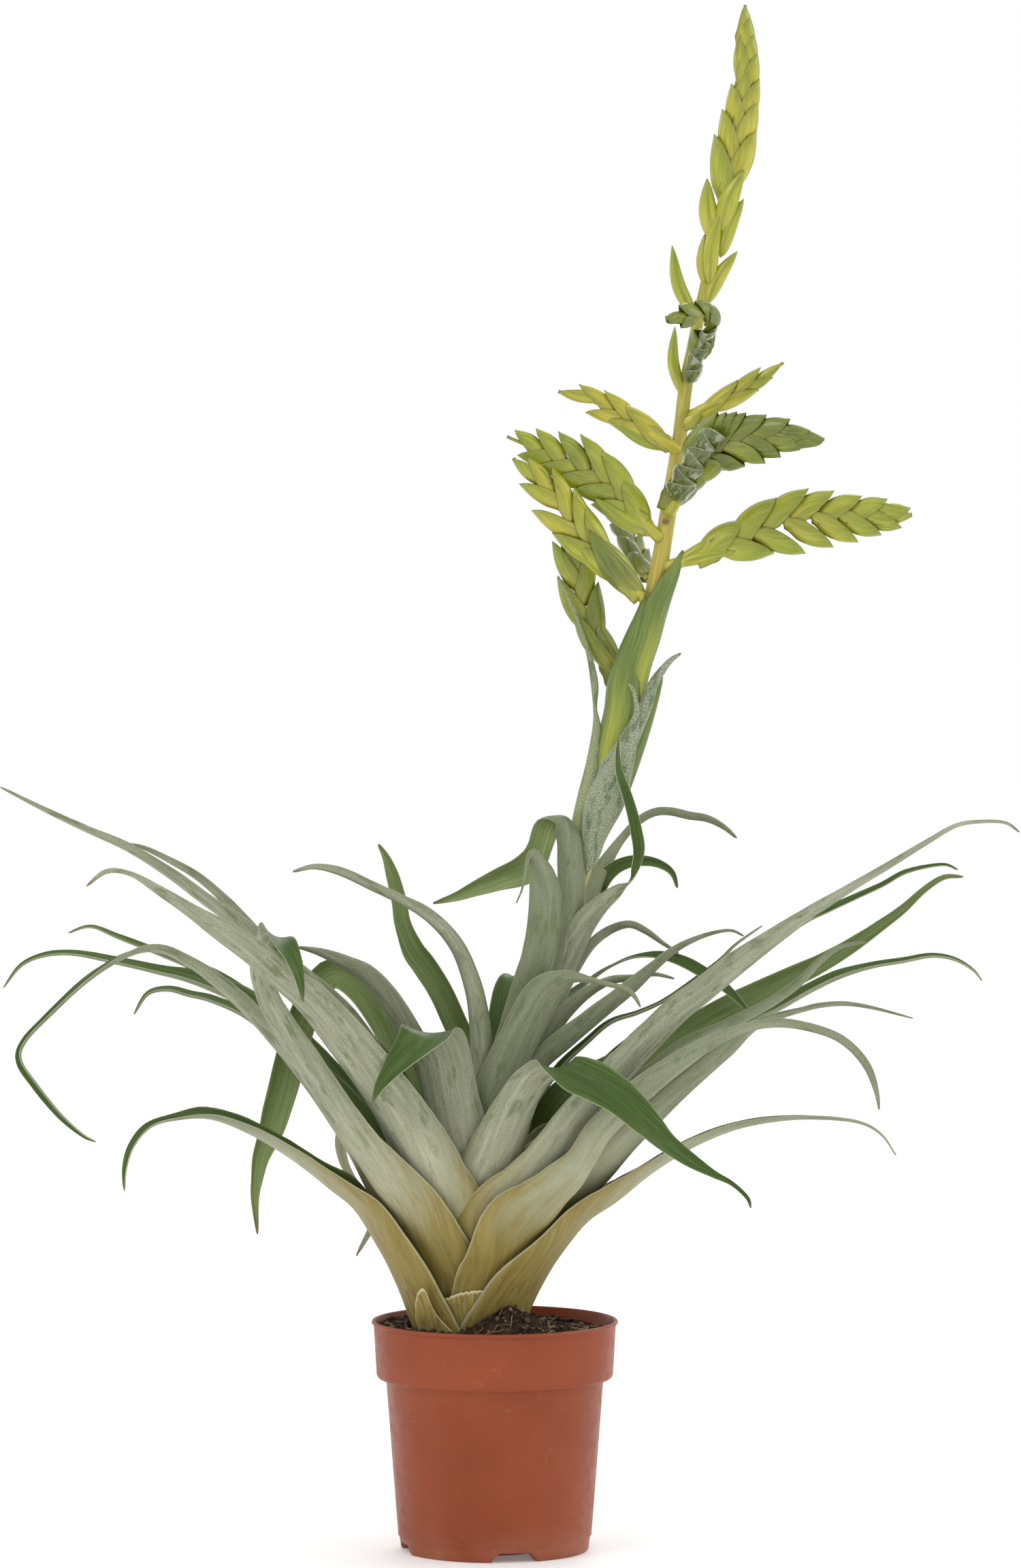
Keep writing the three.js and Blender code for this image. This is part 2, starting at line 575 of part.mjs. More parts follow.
      [83, 18, 270.5, 4], [98, 20, 281, 3.5], [111, 22, 291, 3], [118, 23, 298, 2.5],
      [131, 24, 307.5, 1.2],
    ],
  },
  leaf_right_back: {
    sheath: 14,
    stations: [
      [8, 24, 180, 24], [24, 30, 205, 19], [45, 38, 226, 15], [75, 46, 254, 11], [100, 52, 272, 9],
      [125, 56, 291, 7], [150, 59, 308.5, 5], [163, 60, 315, 4.5], [177, 61, 321.5, 4],
      [190, 62, 327.5, 3.5], [202, 62, 334, 3], [219, 62, 337.4, 2], [227, 61, 335, 1.1],
    ],
  },
  leaf_back_droop: {
    sheath: 18,
    stations: [
      [-24, 30, 165, 28], [-32, 50, 190, 22], [-38, 73, 204, 18], [-44, 94, 202, 14], [-49, 110, 187, 9],
      [-57, 122, 165, 5], [-68, 130, 145, 1.2],
    ],
  },
  leaf_back_bulge: {
    sheath: 16,
    stations: [
      [-27.5, 20, 170, 26], [-40.5, 36, 192, 22], [-55.5, 50, 208, 18], [-67.5, 58, 213, 15],
      [-74.5, 62, 205, 12], [-73.5, 64, 192, 9], [-68.5, 64, 182, 5], [-63.5, 64, 175, 2],
    ],
  },
  leaf_back_centre: {
    sheath: 26,
    stations: [
      [-12, 44, 170, 26], [-15, 66, 196, 24], [-18, 94, 218, 22], [-20, 128, 232, 17], [-22, 160, 232, 12],
      [-24, 184, 219, 6], [-25, 196, 203, 1.5],
    ],
  },
  leaf_back_right: {
    sheath: 24,
    stations: [
      [8, 34, 170, 24], [16, 54, 193, 22], [23, 84, 210, 19], [26, 124, 220, 15], [31, 154, 218, 10],
      [35, 176, 206, 5], [37, 186, 193, 1.5],
    ],
  },
  leaf_back_tall: {
    sheath: 14,
    stations: [
      [-4, 20, 200, 15], [0, 38, 230, 15], [2, 62, 250, 14], [8, 88, 258, 10], [13, 110, 252, 5],
      [16, 122, 240, 1.5],
    ],
  },
  leaf_back_inner: {
    sheath: 14,
    stations: [
      [-18, 14, 198, 16], [-22, 32, 224, 15], [-30, 58, 242, 14], [-34, 84, 246, 10], [-37, 106, 236, 5],
      [-39, 116, 224, 1.5],
    ],
  },
};

// Sheaths along the flower stalk. They face away from it: `facing` is the direction at the foot.
const BRACTS = {
  bract_silvery: {
    facing: [-0.35, -1, 0], channel: 75,
    stations: [
      [47, -8.5, 333, 22], [50, -9.5, 350, 24], [54, -9.5, 365, 25], [59, -10, 380, 22],
      [64, -11, 395, 15], [68, -12, 408, 8], [70.5, -13.5, 418, 3], [66, -14.5, 427, 1],
    ],
  },
  bract_green_left: {
    facing: [-0.7, -1, 0], channel: 75,
    stations: [
      [53, -5, 383, 20], [57, -5.5, 397, 24], [60, -6, 412, 25], [62.5, -6.5, 428, 22],
      [66, -6.5, 443, 15], [69.5, -6.5, 456, 8], [73.5, -6.5, 470, 1.2],
    ],
  },
  bract_green_right: {
    facing: [0.8, -1, 0], channel: 75,
    stations: [
      [69, -4, 420, 13], [72, -5.5, 435, 16], [76, -6, 448, 17], [79.5, -6.5, 460, 17], [84, -6, 471, 13],
      [88.5, -5, 481, 8], [93, -4, 492.5, 1.2],
    ],
  },
  bract_grey_tip: {
    facing: [1, -0.4, 0], channel: 75,
    stations: [
      [58, -2, 362, 14], [64, -3.5, 385, 16], [69, -4, 402, 13], [73, -4, 412, 10], [77, -4, 422, 7],
      [81, -4, 431, 5], [86.5, -4, 438, 3], [95, -4, 442.5, 1.1],
    ],
  },
  bract_green_back: {
    facing: [1, 0.6, 0], channel: 75,
    stations: [
      [60, 4, 364, 12], [66, 5, 384, 13], [72, 6, 400, 11], [77, 7, 412, 8], [80, 8, 421, 5],
      [82.5, 9, 429, 1.2],
    ],
  },
  bract_narrow_left: {
    facing: [-1, 0.2, 0], channel: 75,
    stations: [
      [38, 2, 350, 12], [44, 2, 373, 12], [48, 2, 392, 9], [49.5, 2, 410, 5], [48.5, 2, 425, 4.5],
      [46, 2, 440, 3.5], [42.5, 2, 452, 3], [37, 2, 465, 2.2], [31, 2, 479, 1],
    ],
  },
};

// ---- Stem ----

// The flower stalk's stations: [x, depth, z, radius].
const STALK_LINE = [
  [-12, 0, 150, 5], [-9, 0, 178, 4.6], [-5, 0, 205, 4.4], [5, 0, 236, 4.4], [17, 0, 266, 4.4],
  [31, 0, 303, 4.6], [43, 0, 337, 5], [52, 0, 370, 5.2], [60, 0, 400, 5], [67, 0, 427, 4.6],
  [73, 0, 452, 4.4], [79, 0, 476, 4.3], [84, 0, 505, 4.2], [89.5, 0, 540, 3.7], [93, 0, 570, 3.3],
  [97, 0, 592, 3], [103, 0, 622, 2.6], [106, 0, 638, 2],
];

// A round limb along stations whose last number is its radius.
function limb(stations, sides, extra = 0) {
  const line = curveOf(stations.map(placed));
  const girth = curveOf(stations.map((station) => new THREE.Vector3(station[3], 0, 0)));
  const rows = stations.length + 1;
  return pod(sides, rows, (t, angle) => {
    const along = THREE.MathUtils.clamp((t * rows - 1) / (rows - 2), 0, 1);
    const tangent = line.getTangent(along);
    const side = new THREE.Vector3(1, 0, 0).addScaledVector(tangent, -tangent.x).normalize();
    const other = side.clone().cross(tangent);
    const radius = t === 0 || t === 1 ? 0 : girth.getPoint(along).x + extra;
    return line
      .getPoint(along)
      .addScaledVector(side, -radius * Math.cos(angle))
      .addScaledVector(other, radius * Math.sin(angle));
  });
}

// The closed buds beside the stalk's upper end, each from its foot to its tip.
const BUDS = [
  { foot: [92, -2, 566], tip: [88, -4, 601], width: 6 },
  { foot: [99, -1, 603], tip: [86.5, -2, 640.5], width: 7 },
];

// One keeled bract from its foot to its tip, bulging towards `side`.
function bractPod(foot, tip, side, width, depth) {
  const bulge = foot.distanceTo(tip) * 0.16;
  const middle = foot.clone().lerp(tip, 0.5).addScaledVector(side, bulge);
  const line = new THREE.QuadraticBezierCurve3(foot, middle, tip);
  return pod(4, 4, (t, angle) => {
    const tangent = line.getTangent(t);
    const keel = side.clone().addScaledVector(tangent, -side.dot(tangent)).normalize();
    const flank = keel.clone().cross(tangent);
    const girth = Math.sin(Math.PI * t ** 0.8) ** 0.75;
    return line
      .getPoint(t)
      .addScaledVector(keel, (-girth * Math.cos(angle) * width) / 2)
      .addScaledVector(flank, (girth * Math.sin(angle) * depth) / 2);
  });
}

// The flower stalk with its buds.
function stalkSolid(extra = 0) {
  const buds = BUDS.map(({ foot, tip, width }) => {
    const [start, end] = [placed(foot), placed(tip)];
    const side = end.clone().sub(start).cross(new THREE.Vector3(0, 1, 0)).normalize();
    return bractPod(start, end, side, width + 2 * extra, 5 + 2 * extra);
  });
  return union([limb(STALK_LINE, 7, extra), ...buds]);
}

// The stubs of two old sheaths at the front of the foot: [azimuth in degrees, height of the edge].
const STUBS = [
  { share: 1.26, edge: [[-141, 116], [-130, 128], [-121, 133], [-118, 121], [-107, 112], [-97, 109]] },
  { share: 0.99, lean: -13, edge: [[-124, 126.4], [-113, 127.2], [-101, 129.9], [-90, 131.4], [-76, 132]] },
];

function stubSolid({ share, lean, edge }, extra = 0) {
  return sheet(4, edge.length, (row, column) => {
    const [at, top] = edge[column];
    const across = column / (edge.length - 1);
    const azimuth = at + (lean ?? 0) * (1 - row / 3) * across + 8 * extra * (across - 0.5);
    const height = mix(101, top, row / 3);
    const radius = row === 0 ? 22 : share * funnel(height);
    const outward = new THREE.Vector3(Math.cos(radians(azimuth)), Math.sin(radians(azimuth)), 0);
    const middle = new THREE.Vector3(ROSETTE.x, ROSETTE.y, height).addScaledVector(outward, radius);
    return { middle, normal: outward, thickness: LEAF_THICKNESS + 2 * extra };
  });
}

// ---- Spikes ----

// A spike's axis is a list of [x, depth, z]. Its bracts overlap in two rows, one on each side of the
// axis: `first` is where the first tip lies along the axis, `pitch` the step from tip to tip.
const SPIKES = {
  spike_right: {
    axis: [
      [83, -1, 483], [100, -3, 489], [120, -4, 498], [140, -5, 505], [160, -5, 508], [182, -5, 508.5],
      [205, -5, 509],
    ],
    first: 38, pitch: 7.2, bracts: 13, depth: 7, spread: 13, peduncle: 2.4,
    basal: [{ tip: [118, -6, 491], width: 8 }],
  },
  spike_left_front: {
    axis: [[76, -3, 465], [62, -7, 478], [50, -10, 491], [38, -12, 505], [26, -13, 521], [8, -14, 538]],
    first: 40, pitch: 7, bracts: 9, depth: 7, spread: 10, peduncle: 2.4,
    basal: [{ tip: [46, -16, 501], width: 12 }],
  },
  spike_left_upper: {
    axis: [[81, -2, 497], [69, -4, 509], [58, -5, 521], [42, -6, 531], [26, -6, 538], [6, -6, 547]],
    first: 32, pitch: 6.6, bracts: 10, depth: 6, spread: 10.5, peduncle: 2,
    basal: [{ tip: [49, -9, 518], width: 8 }],
  },
  spike_upright_left: {
    axis: [[66, 6, 424], [57, 9, 434], [50, 11, 447], [44, 12, 461], [40, 12, 480], [36, 12, 504]],
    first: 44, pitch: 6.5, bracts: 6, depth: 7, spread: 8.5, peduncle: 2.2,
    basal: [{ tip: [44, 4, 458], width: 7 }],
  },
  spike_high_left: {
    axis: [[90, -1, 540], [78, -3, 547], [62, -4, 558], [46, -4, 566], [30, -4, 570]],
    first: 24, pitch: 7, bracts: 6, depth: 5.5, spread: 6.5, peduncle: 1.8,
    basal: [{ tip: [63, -6, 562], width: 6 }],
  },
  spike_high_right: {
    axis: [[91, 0, 553], [104, -2, 559], [118, -3, 568], [132, -3, 578], [141, -3, 583]],
    first: 18, pitch: 6.5, bracts: 6, depth: 5, spread: 5.5, peduncle: 1.8,
    basal: [{ tip: [112, -5, 566], width: 6 }],
  },
  spike_front_right: {
    axis: [
      [85, -3, 510], [91, -12, 521], [97, -24, 531], [107, -36, 543], [124, -45, 548], [142, -50, 548],
      [162, -54, 546],
    ],
    first: 22, pitch: 7.5, bracts: 11, depth: 8, spread: 9.5, peduncle: 2.4,
    basal: [{ tip: [100, -22, 541], width: 7 }],
  },
  spike_front_high: {
    axis: [[95, -3, 576], [99, -10, 586], [103, -20, 597], [101, -31, 605], [92, -40, 606], [82, -46, 605]],
    first: 18, pitch: 6.5, bracts: 8, depth: 7, spread: 5.5, peduncle: 2,
    basal: [{ tip: [104, -14, 598], width: 6 }],
  },
  spike_back_left: {
    axis: [[76, 4, 477], [71, 16, 486], [66, 28, 497], [60, 38, 505], [55, 46, 511]],
    first: 20, pitch: 7, bracts: 6, depth: 6, spread: 5, peduncle: 1.8,
    basal: [{ tip: [68, 24, 497], width: 6 }],
  },
  spike_top: {
    axis: [
      [104, 0, 630], [109, 0, 650], [114, 0, 668], [117.5, 0, 686], [120, 0, 705], [122, 0, 725],
      [123, 0, 742], [122, 0, 758],
    ],
    first: 34, pitch: 7, bracts: 15, depth: 7, spread: 9, peduncle: 2.4,
    basal: [
      { from: [106, -1, 611], tip: [118.5, -2, 637.5], width: 7 },
      { from: [103, -1, 622], tip: [102, -2, 647], width: 6 },
      { from: [110, -1, 636], tip: [121.5, -2, 663], width: 7 },
      { from: [106, -2, 640], tip: [104, -3, 673], width: 7 },
      { from: [109, -2, 646], tip: [121.5, -3, 678], width: 8 },
    ],
  },
};

const BARE = 17; // how far before its first tip an ear begins
const DROP = 1.2; // how far past a bract's tip the edge has dropped back
const NOTCHED = 0.62; // the share of its reach that the edge keeps there

// The edge of an ear on one side of its axis, `at` mm along it: each bract's keel runs outwards to
// its own tip, and the edge then drops back to the next bract's keel.
function earEdge(spike, side, at) {
  const { first, pitch, bracts, spread } = spike;
  let next = side > 0 ? 1 : 0;
  while (next + 2 < bracts + 2 && first + next * pitch < at - 1e-6) next += 2;
  const share = Math.min(1, next / (bracts - 1));
  const stand = spread * Math.sin(Math.PI * mix(0.25, 0.95, share)) + 1.2;
  const tip = first + next * pitch;
  const run = THREE.MathUtils.clamp((at - (tip - 2 * pitch)) / (2 * pitch), 0, 1);
  const rise = next < 2 ? smooth(first - BARE, tip, at) : mix(NOTCHED, 1, run ** 0.8);
  return { out: stand * rise, deep: (spike.depth / 2) * (1 - 0.45 * share ** 2) * mix(0.75, 1, rise) };
}

// A spike: its stalk and an ear of bracts in two rows, with the bracts at its foot fused on.
function spikeSolid(spike, extra = 0) {
  const axis = curveOf(spike.axis.map(placed));
  const size = axis.getLength();
  const marks = [0.5, (spike.first - BARE) / 2, spike.first - BARE];
  for (let i = 0; i < spike.bracts; i++) {
    marks.push(spike.first + i * spike.pitch);
    marks.push(spike.first + i * spike.pitch + DROP);
  }
  const rows = marks.filter((at) => at < size - 1);
  const sight = new THREE.Vector3(0, 1, 0);
  const ear = pod(4, rows.length + 1, (t, angle) => {
    const row = Math.round(t * (rows.length + 1)) - 1;
    if (row < 0) return axis.getPoint(0);
    if (row >= rows.length) return axis.getPoint(1).addScaledVector(axis.getTangent(1), extra);
    const at = rows[row];
    const tangent = axis.getTangentAt(at / size);
    const across = tangent.clone().cross(sight).normalize();
    const flank = across.clone().cross(tangent);
    const [x, y] = [-Math.cos(angle), Math.sin(angle)];
    const edge = earEdge(spike, x, at);
    const bare = at <= spike.first - BARE;
    const out = (bare ? spike.peduncle : Math.max(edge.out, spike.peduncle)) + extra;
    const deep = (bare ? spike.peduncle : Math.max(edge.deep, spike.peduncle)) + extra;
    return axis.getPointAt(at / size).addScaledVector(across, x * out).addScaledVector(flank, y * deep);
  });
  const pieces = [ear];
  for (const { from, tip, width } of spike.basal) {
    const start = from ? placed(from) : axis.getPointAt(0.08);
    const end = placed(tip);
    const side = end.clone().sub(start).cross(sight).normalize();
    pieces.push(bractPod(start, end, side, width + 2 * extra, spike.depth * 0.8 + 2 * extra));
  }
  return mainBody(union(pieces));
}

// ---- Pot and soil ----

const POT_PROFILE = [
  [0, 0], [PAD_RADIUS, 0], [PAD_RADIUS + 0.8, UNDERSIDE], [39.5, UNDERSIDE], [41.5, 0], [45.4, 0],
  [FOOT_RADIUS, 0.9], [47, 7], [47.6, 7.6], [53.4, 83.4], [54.6, COLLAR_BOTTOM - 0.4],
  [57.2, COLLAR_BOTTOM + 0.2], [58.2, COLLAR_BOTTOM + 2], [59.6, POT_HEIGHT - LIP_DEPTH],
  [LIP_RADIUS, POT_HEIGHT - 1.6], [60.3, POT_HEIGHT - 0.3], [59.6, POT_HEIGHT], [58.6, POT_HEIGHT - 0.7],
  [58.2 - POT_WALL, 89.3], [56.2, 87.7], [53.2, 86.3], [52.1, 84.6], [46.2, 9], [44.6, POT_FLOOR],
  [0, POT_FLOOR],
];

function potSolid() {
  let pot = solid(lathe(POT_PROFILE, POT_SIDES));
  const { top, bottom, height } = NOTCH;
  const outline = [[-bottom, -1], [bottom, -1], [top, height], [-top, height]];
  const shape = new THREE.Shape(outline.map(([x, y]) => new THREE.Vector2(x / 2, y)));
  for (let i = 0; i < 4; i++) {
    const notch = new THREE.ExtrudeGeometry(shape, { depth: 14, bevelEnabled: false });
    notch.rotateX(Math.PI / 2).translate(0, -38, 0).rotateZ(radians(NOTCH.turn + 90 * i));
    pot = pot.subtract(solid(notch));
  }
  for (let i = 0; i < DRAIN.count; i++) {
    const drain = new THREE.CylinderGeometry(DRAIN.radius, DRAIN.radius, 8, 6).rotateX(Math.PI / 2);
    const angle = (2 * Math.PI * i) / DRAIN.count;
    drain.translate(DRAIN.ring * Math.cos(angle), DRAIN.ring * Math.sin(angle), POT_FLOOR - 1);
    pot = pot.subtract(solid(drain));
  }
  return pot;
}

const hill = (x, y, { x: hx, y: hy, spread, height }) =>
  height * Math.exp(-((x - hx) ** 2 + (y - hy) ** 2) / (2 * spread ** 2));

// The soil's surface above its level: the mound, the dip and a ripple of small lumps.
const relief = (x, y) =>
  hill(x, y, MOUND) + hill(x, y, DIP) + 0.7 * Math.sin(x / 4.1 + 1) * Math.cos(y / 3.7) +
  0.5 * Math.sin((x + y) / 6.3);

function soilSolid() {
  const [floor, level] = [POT_FLOOR + GAP, SOIL_LEVEL];
  const sides = [
    [0, floor], [44.1, floor], [45.8, 9], [51.7, 84.7], [52.9, 86.8], [55.8, 88.2], [56.5, 89.6],
  ];
  const surface = [57.9, 53, 44, 34, 20, 0].map((radius) => [radius, level]);
  const geometry = lathe([...sides, ...surface], 32);
  const { position } = geometry.attributes;
  for (let i = 0; i < position.count; i++) {
    if (position.getZ(i) > level - 1) position.setZ(i, level + relief(position.getX(i), position.getY(i)));
  }
  const well = FUNNEL.slice(1, 4).map(([r, z]) => [1.1 * r + 1.8, z]);
  const hole = lathe([[0, 97 - GAP], [27, 97 - GAP], ...well, [0, well.at(-1)[1]]], 16);
  const socket = stubSolid(STUBS[0], GAP).hull();
  return solid(geometry).subtract(solid(hole.translate(ROSETTE.x, ROSETTE.y, 0))).subtract(socket);
}

// ---- Assembly ----

const plant = new THREE.Group();
plant.add(meshOf("pot", potSolid(), PLASTIC));
plant.add(meshOf("soil", soilSolid(), PEAT));

const rooms = [stalkSolid(GAP)];
for (const [name, leaf] of Object.entries(LEAVES)) {
  plant.add(meshOf(name, clearOf(bladeSolid(leaf), rooms), LEAF));
  rooms.push(bladeSolid(leaf, GAP));
}
const trunk = solid(lathe(CORE, 12).translate(ROSETTE.x, ROSETTE.y, 0));
const core = union([trunk, ...STUBS.map((stub) => stubSolid(stub))]);
plant.add(meshOf("stem", clearOf(core, rooms.slice(1)).add(stalkSolid()), STALK));
for (const [name, bract] of Object.entries(BRACTS)) {
  plant.add(meshOf(name, clearOf(bladeSolid(bract), rooms), BRACT));
  rooms.push(bladeSolid(bract, GAP));
}
for (const [name, spike] of Object.entries(SPIKES)) {
  plant.add(meshOf(name, clearOf(spikeSolid(spike), rooms), SPIKE));
  rooms.push(spikeSolid(spike, GAP));
}

export default plant;
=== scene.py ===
"""A tillandsia in flower, in a plain plastic nursery pot.

Lengths in the tables are millimetres. The origin is the centre of the pot's foot, +Z is up, +X is to
the right of someone who faces the plant, and -Y points to them.
"""

import math
import random

import bmesh
import bpy
from mathutils import Matrix, Vector, noise


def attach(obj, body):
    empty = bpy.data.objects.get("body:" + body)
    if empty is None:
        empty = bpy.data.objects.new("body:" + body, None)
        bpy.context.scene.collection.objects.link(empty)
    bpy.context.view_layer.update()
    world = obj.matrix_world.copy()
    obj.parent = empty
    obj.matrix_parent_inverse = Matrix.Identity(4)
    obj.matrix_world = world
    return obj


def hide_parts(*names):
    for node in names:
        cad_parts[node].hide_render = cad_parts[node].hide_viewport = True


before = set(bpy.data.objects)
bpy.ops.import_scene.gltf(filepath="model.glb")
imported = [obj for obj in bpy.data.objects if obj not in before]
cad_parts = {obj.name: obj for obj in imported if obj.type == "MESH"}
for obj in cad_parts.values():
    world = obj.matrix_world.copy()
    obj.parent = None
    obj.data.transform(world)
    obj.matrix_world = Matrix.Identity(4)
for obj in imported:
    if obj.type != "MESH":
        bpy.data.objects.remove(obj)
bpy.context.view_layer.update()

MM = 0.001


def shown(name, data):
    """A new object in the scene."""
    made = bpy.data.objects.new(name, data)
    bpy.context.scene.collection.objects.link(made)
    return made


# ---- Camera ----

EYE = Vector((7.7, -3600, 557))
TARGET = Vector((7.7, 0, 377))
FRAME_HEIGHT = 768  # what the frame's height spans at the target
FILM = 36

camera_data = bpy.data.cameras.new("camera")
camera_data.sensor_fit = "VERTICAL"
camera_data.sensor_height = FILM
camera_data.lens = FILM * (TARGET - EYE).length / FRAME_HEIGHT
camera_data.clip_end = 100
camera = shown("camera", camera_data)
camera.location = EYE * MM
camera.rotation_euler = (TARGET - EYE).to_track_quat("-Z", "Y").to_euler()
bpy.context.scene.camera = camera

# ---- Dimensions ----

POT_HEIGHT = 113.4
LIP_RADIUS = 60.6
COLLAR_BOTTOM = 85
FOOT_RADIUS = 46.2
POT_WALL = 1.3
POT_FLOOR = 6
UNDERSIDE = 4
PAD_RADIUS, INSIDE_FOOT = 22, 32  # the middle pad, and a circle inside the foot's ring
NOTCH_HEIGHT, NOTCH_HALF_ANGLE, NOTCH_TURN = 4.5, 12, 12.5
DRAIN_RADIUS, DRAIN_RING, DRAINS, DRAIN_CUT = 4, 31, 4, 10

SOIL_LEVEL = 111
GAP = 0.3
LEAF_THICKNESS, TIP_THICKNESS = 0.9, 0.65
CHANNEL = 58  # a blade's section is an arc of this half angle, in degrees
SHEATH_FROM, SHEATH_TO = 140, 186  # heights between which a leaf leaves the rosette's funnel
FOOT_CLEARANCE = 2.6
SHORTEST_SHEATH = 20  # the least rise from a sheath's foot to where the leaf leaves the funnel
NARROWEST = 0.8  # a blade's least width
TIGHTEST = 6  # the least radius of an arc round the rosette's line
STEPS = 5  # samples from one station of a blade to the next
COLUMNS = 14  # faces across a blade

# The rosette's funnel round its upright line: (radius, height).
ROSETTE = Vector((-12, 0, 0))
FUNNEL = [
    (22, 100), (25.5, 112), (28.5, 120), (36.5, 137), (44.5, 151), (52, 163), (60, 175), (90, 220),
    (125, 270),
]
CORE_SHOULDER = 106
STUB_FOOT, STUB_WAIST = 101, 22  # height and radius at which an old sheath's stub leaves the trunk
CORE = [(0, 97), (24, 97.5), (26, 100), (25, 104), (21, 106), (15, 120), (10, 138), (6.5, 160), (0, 190)]

# ---- Tables ----

# A station is (x, depth, z, width) and, where the blade's roll changes, the roll in degrees. X and Z
# are read on the front elevation as it looks from EYE, and the depth is how far behind (+) or before
# (-) the pot's axis the station lies.


def leaf(sheath, stations, **traits):
    """A leaf's shape: the width of its sheath's foot, and its stations from where it leaves the sheath.
    "tone" goes from 0 for silvery to 1 for green. "light" is 1 where the inner face is painted paler:
    painted light, as if shining through the leaf from behind."""
    return {"sheath": sheath, "stations": stations, **traits}


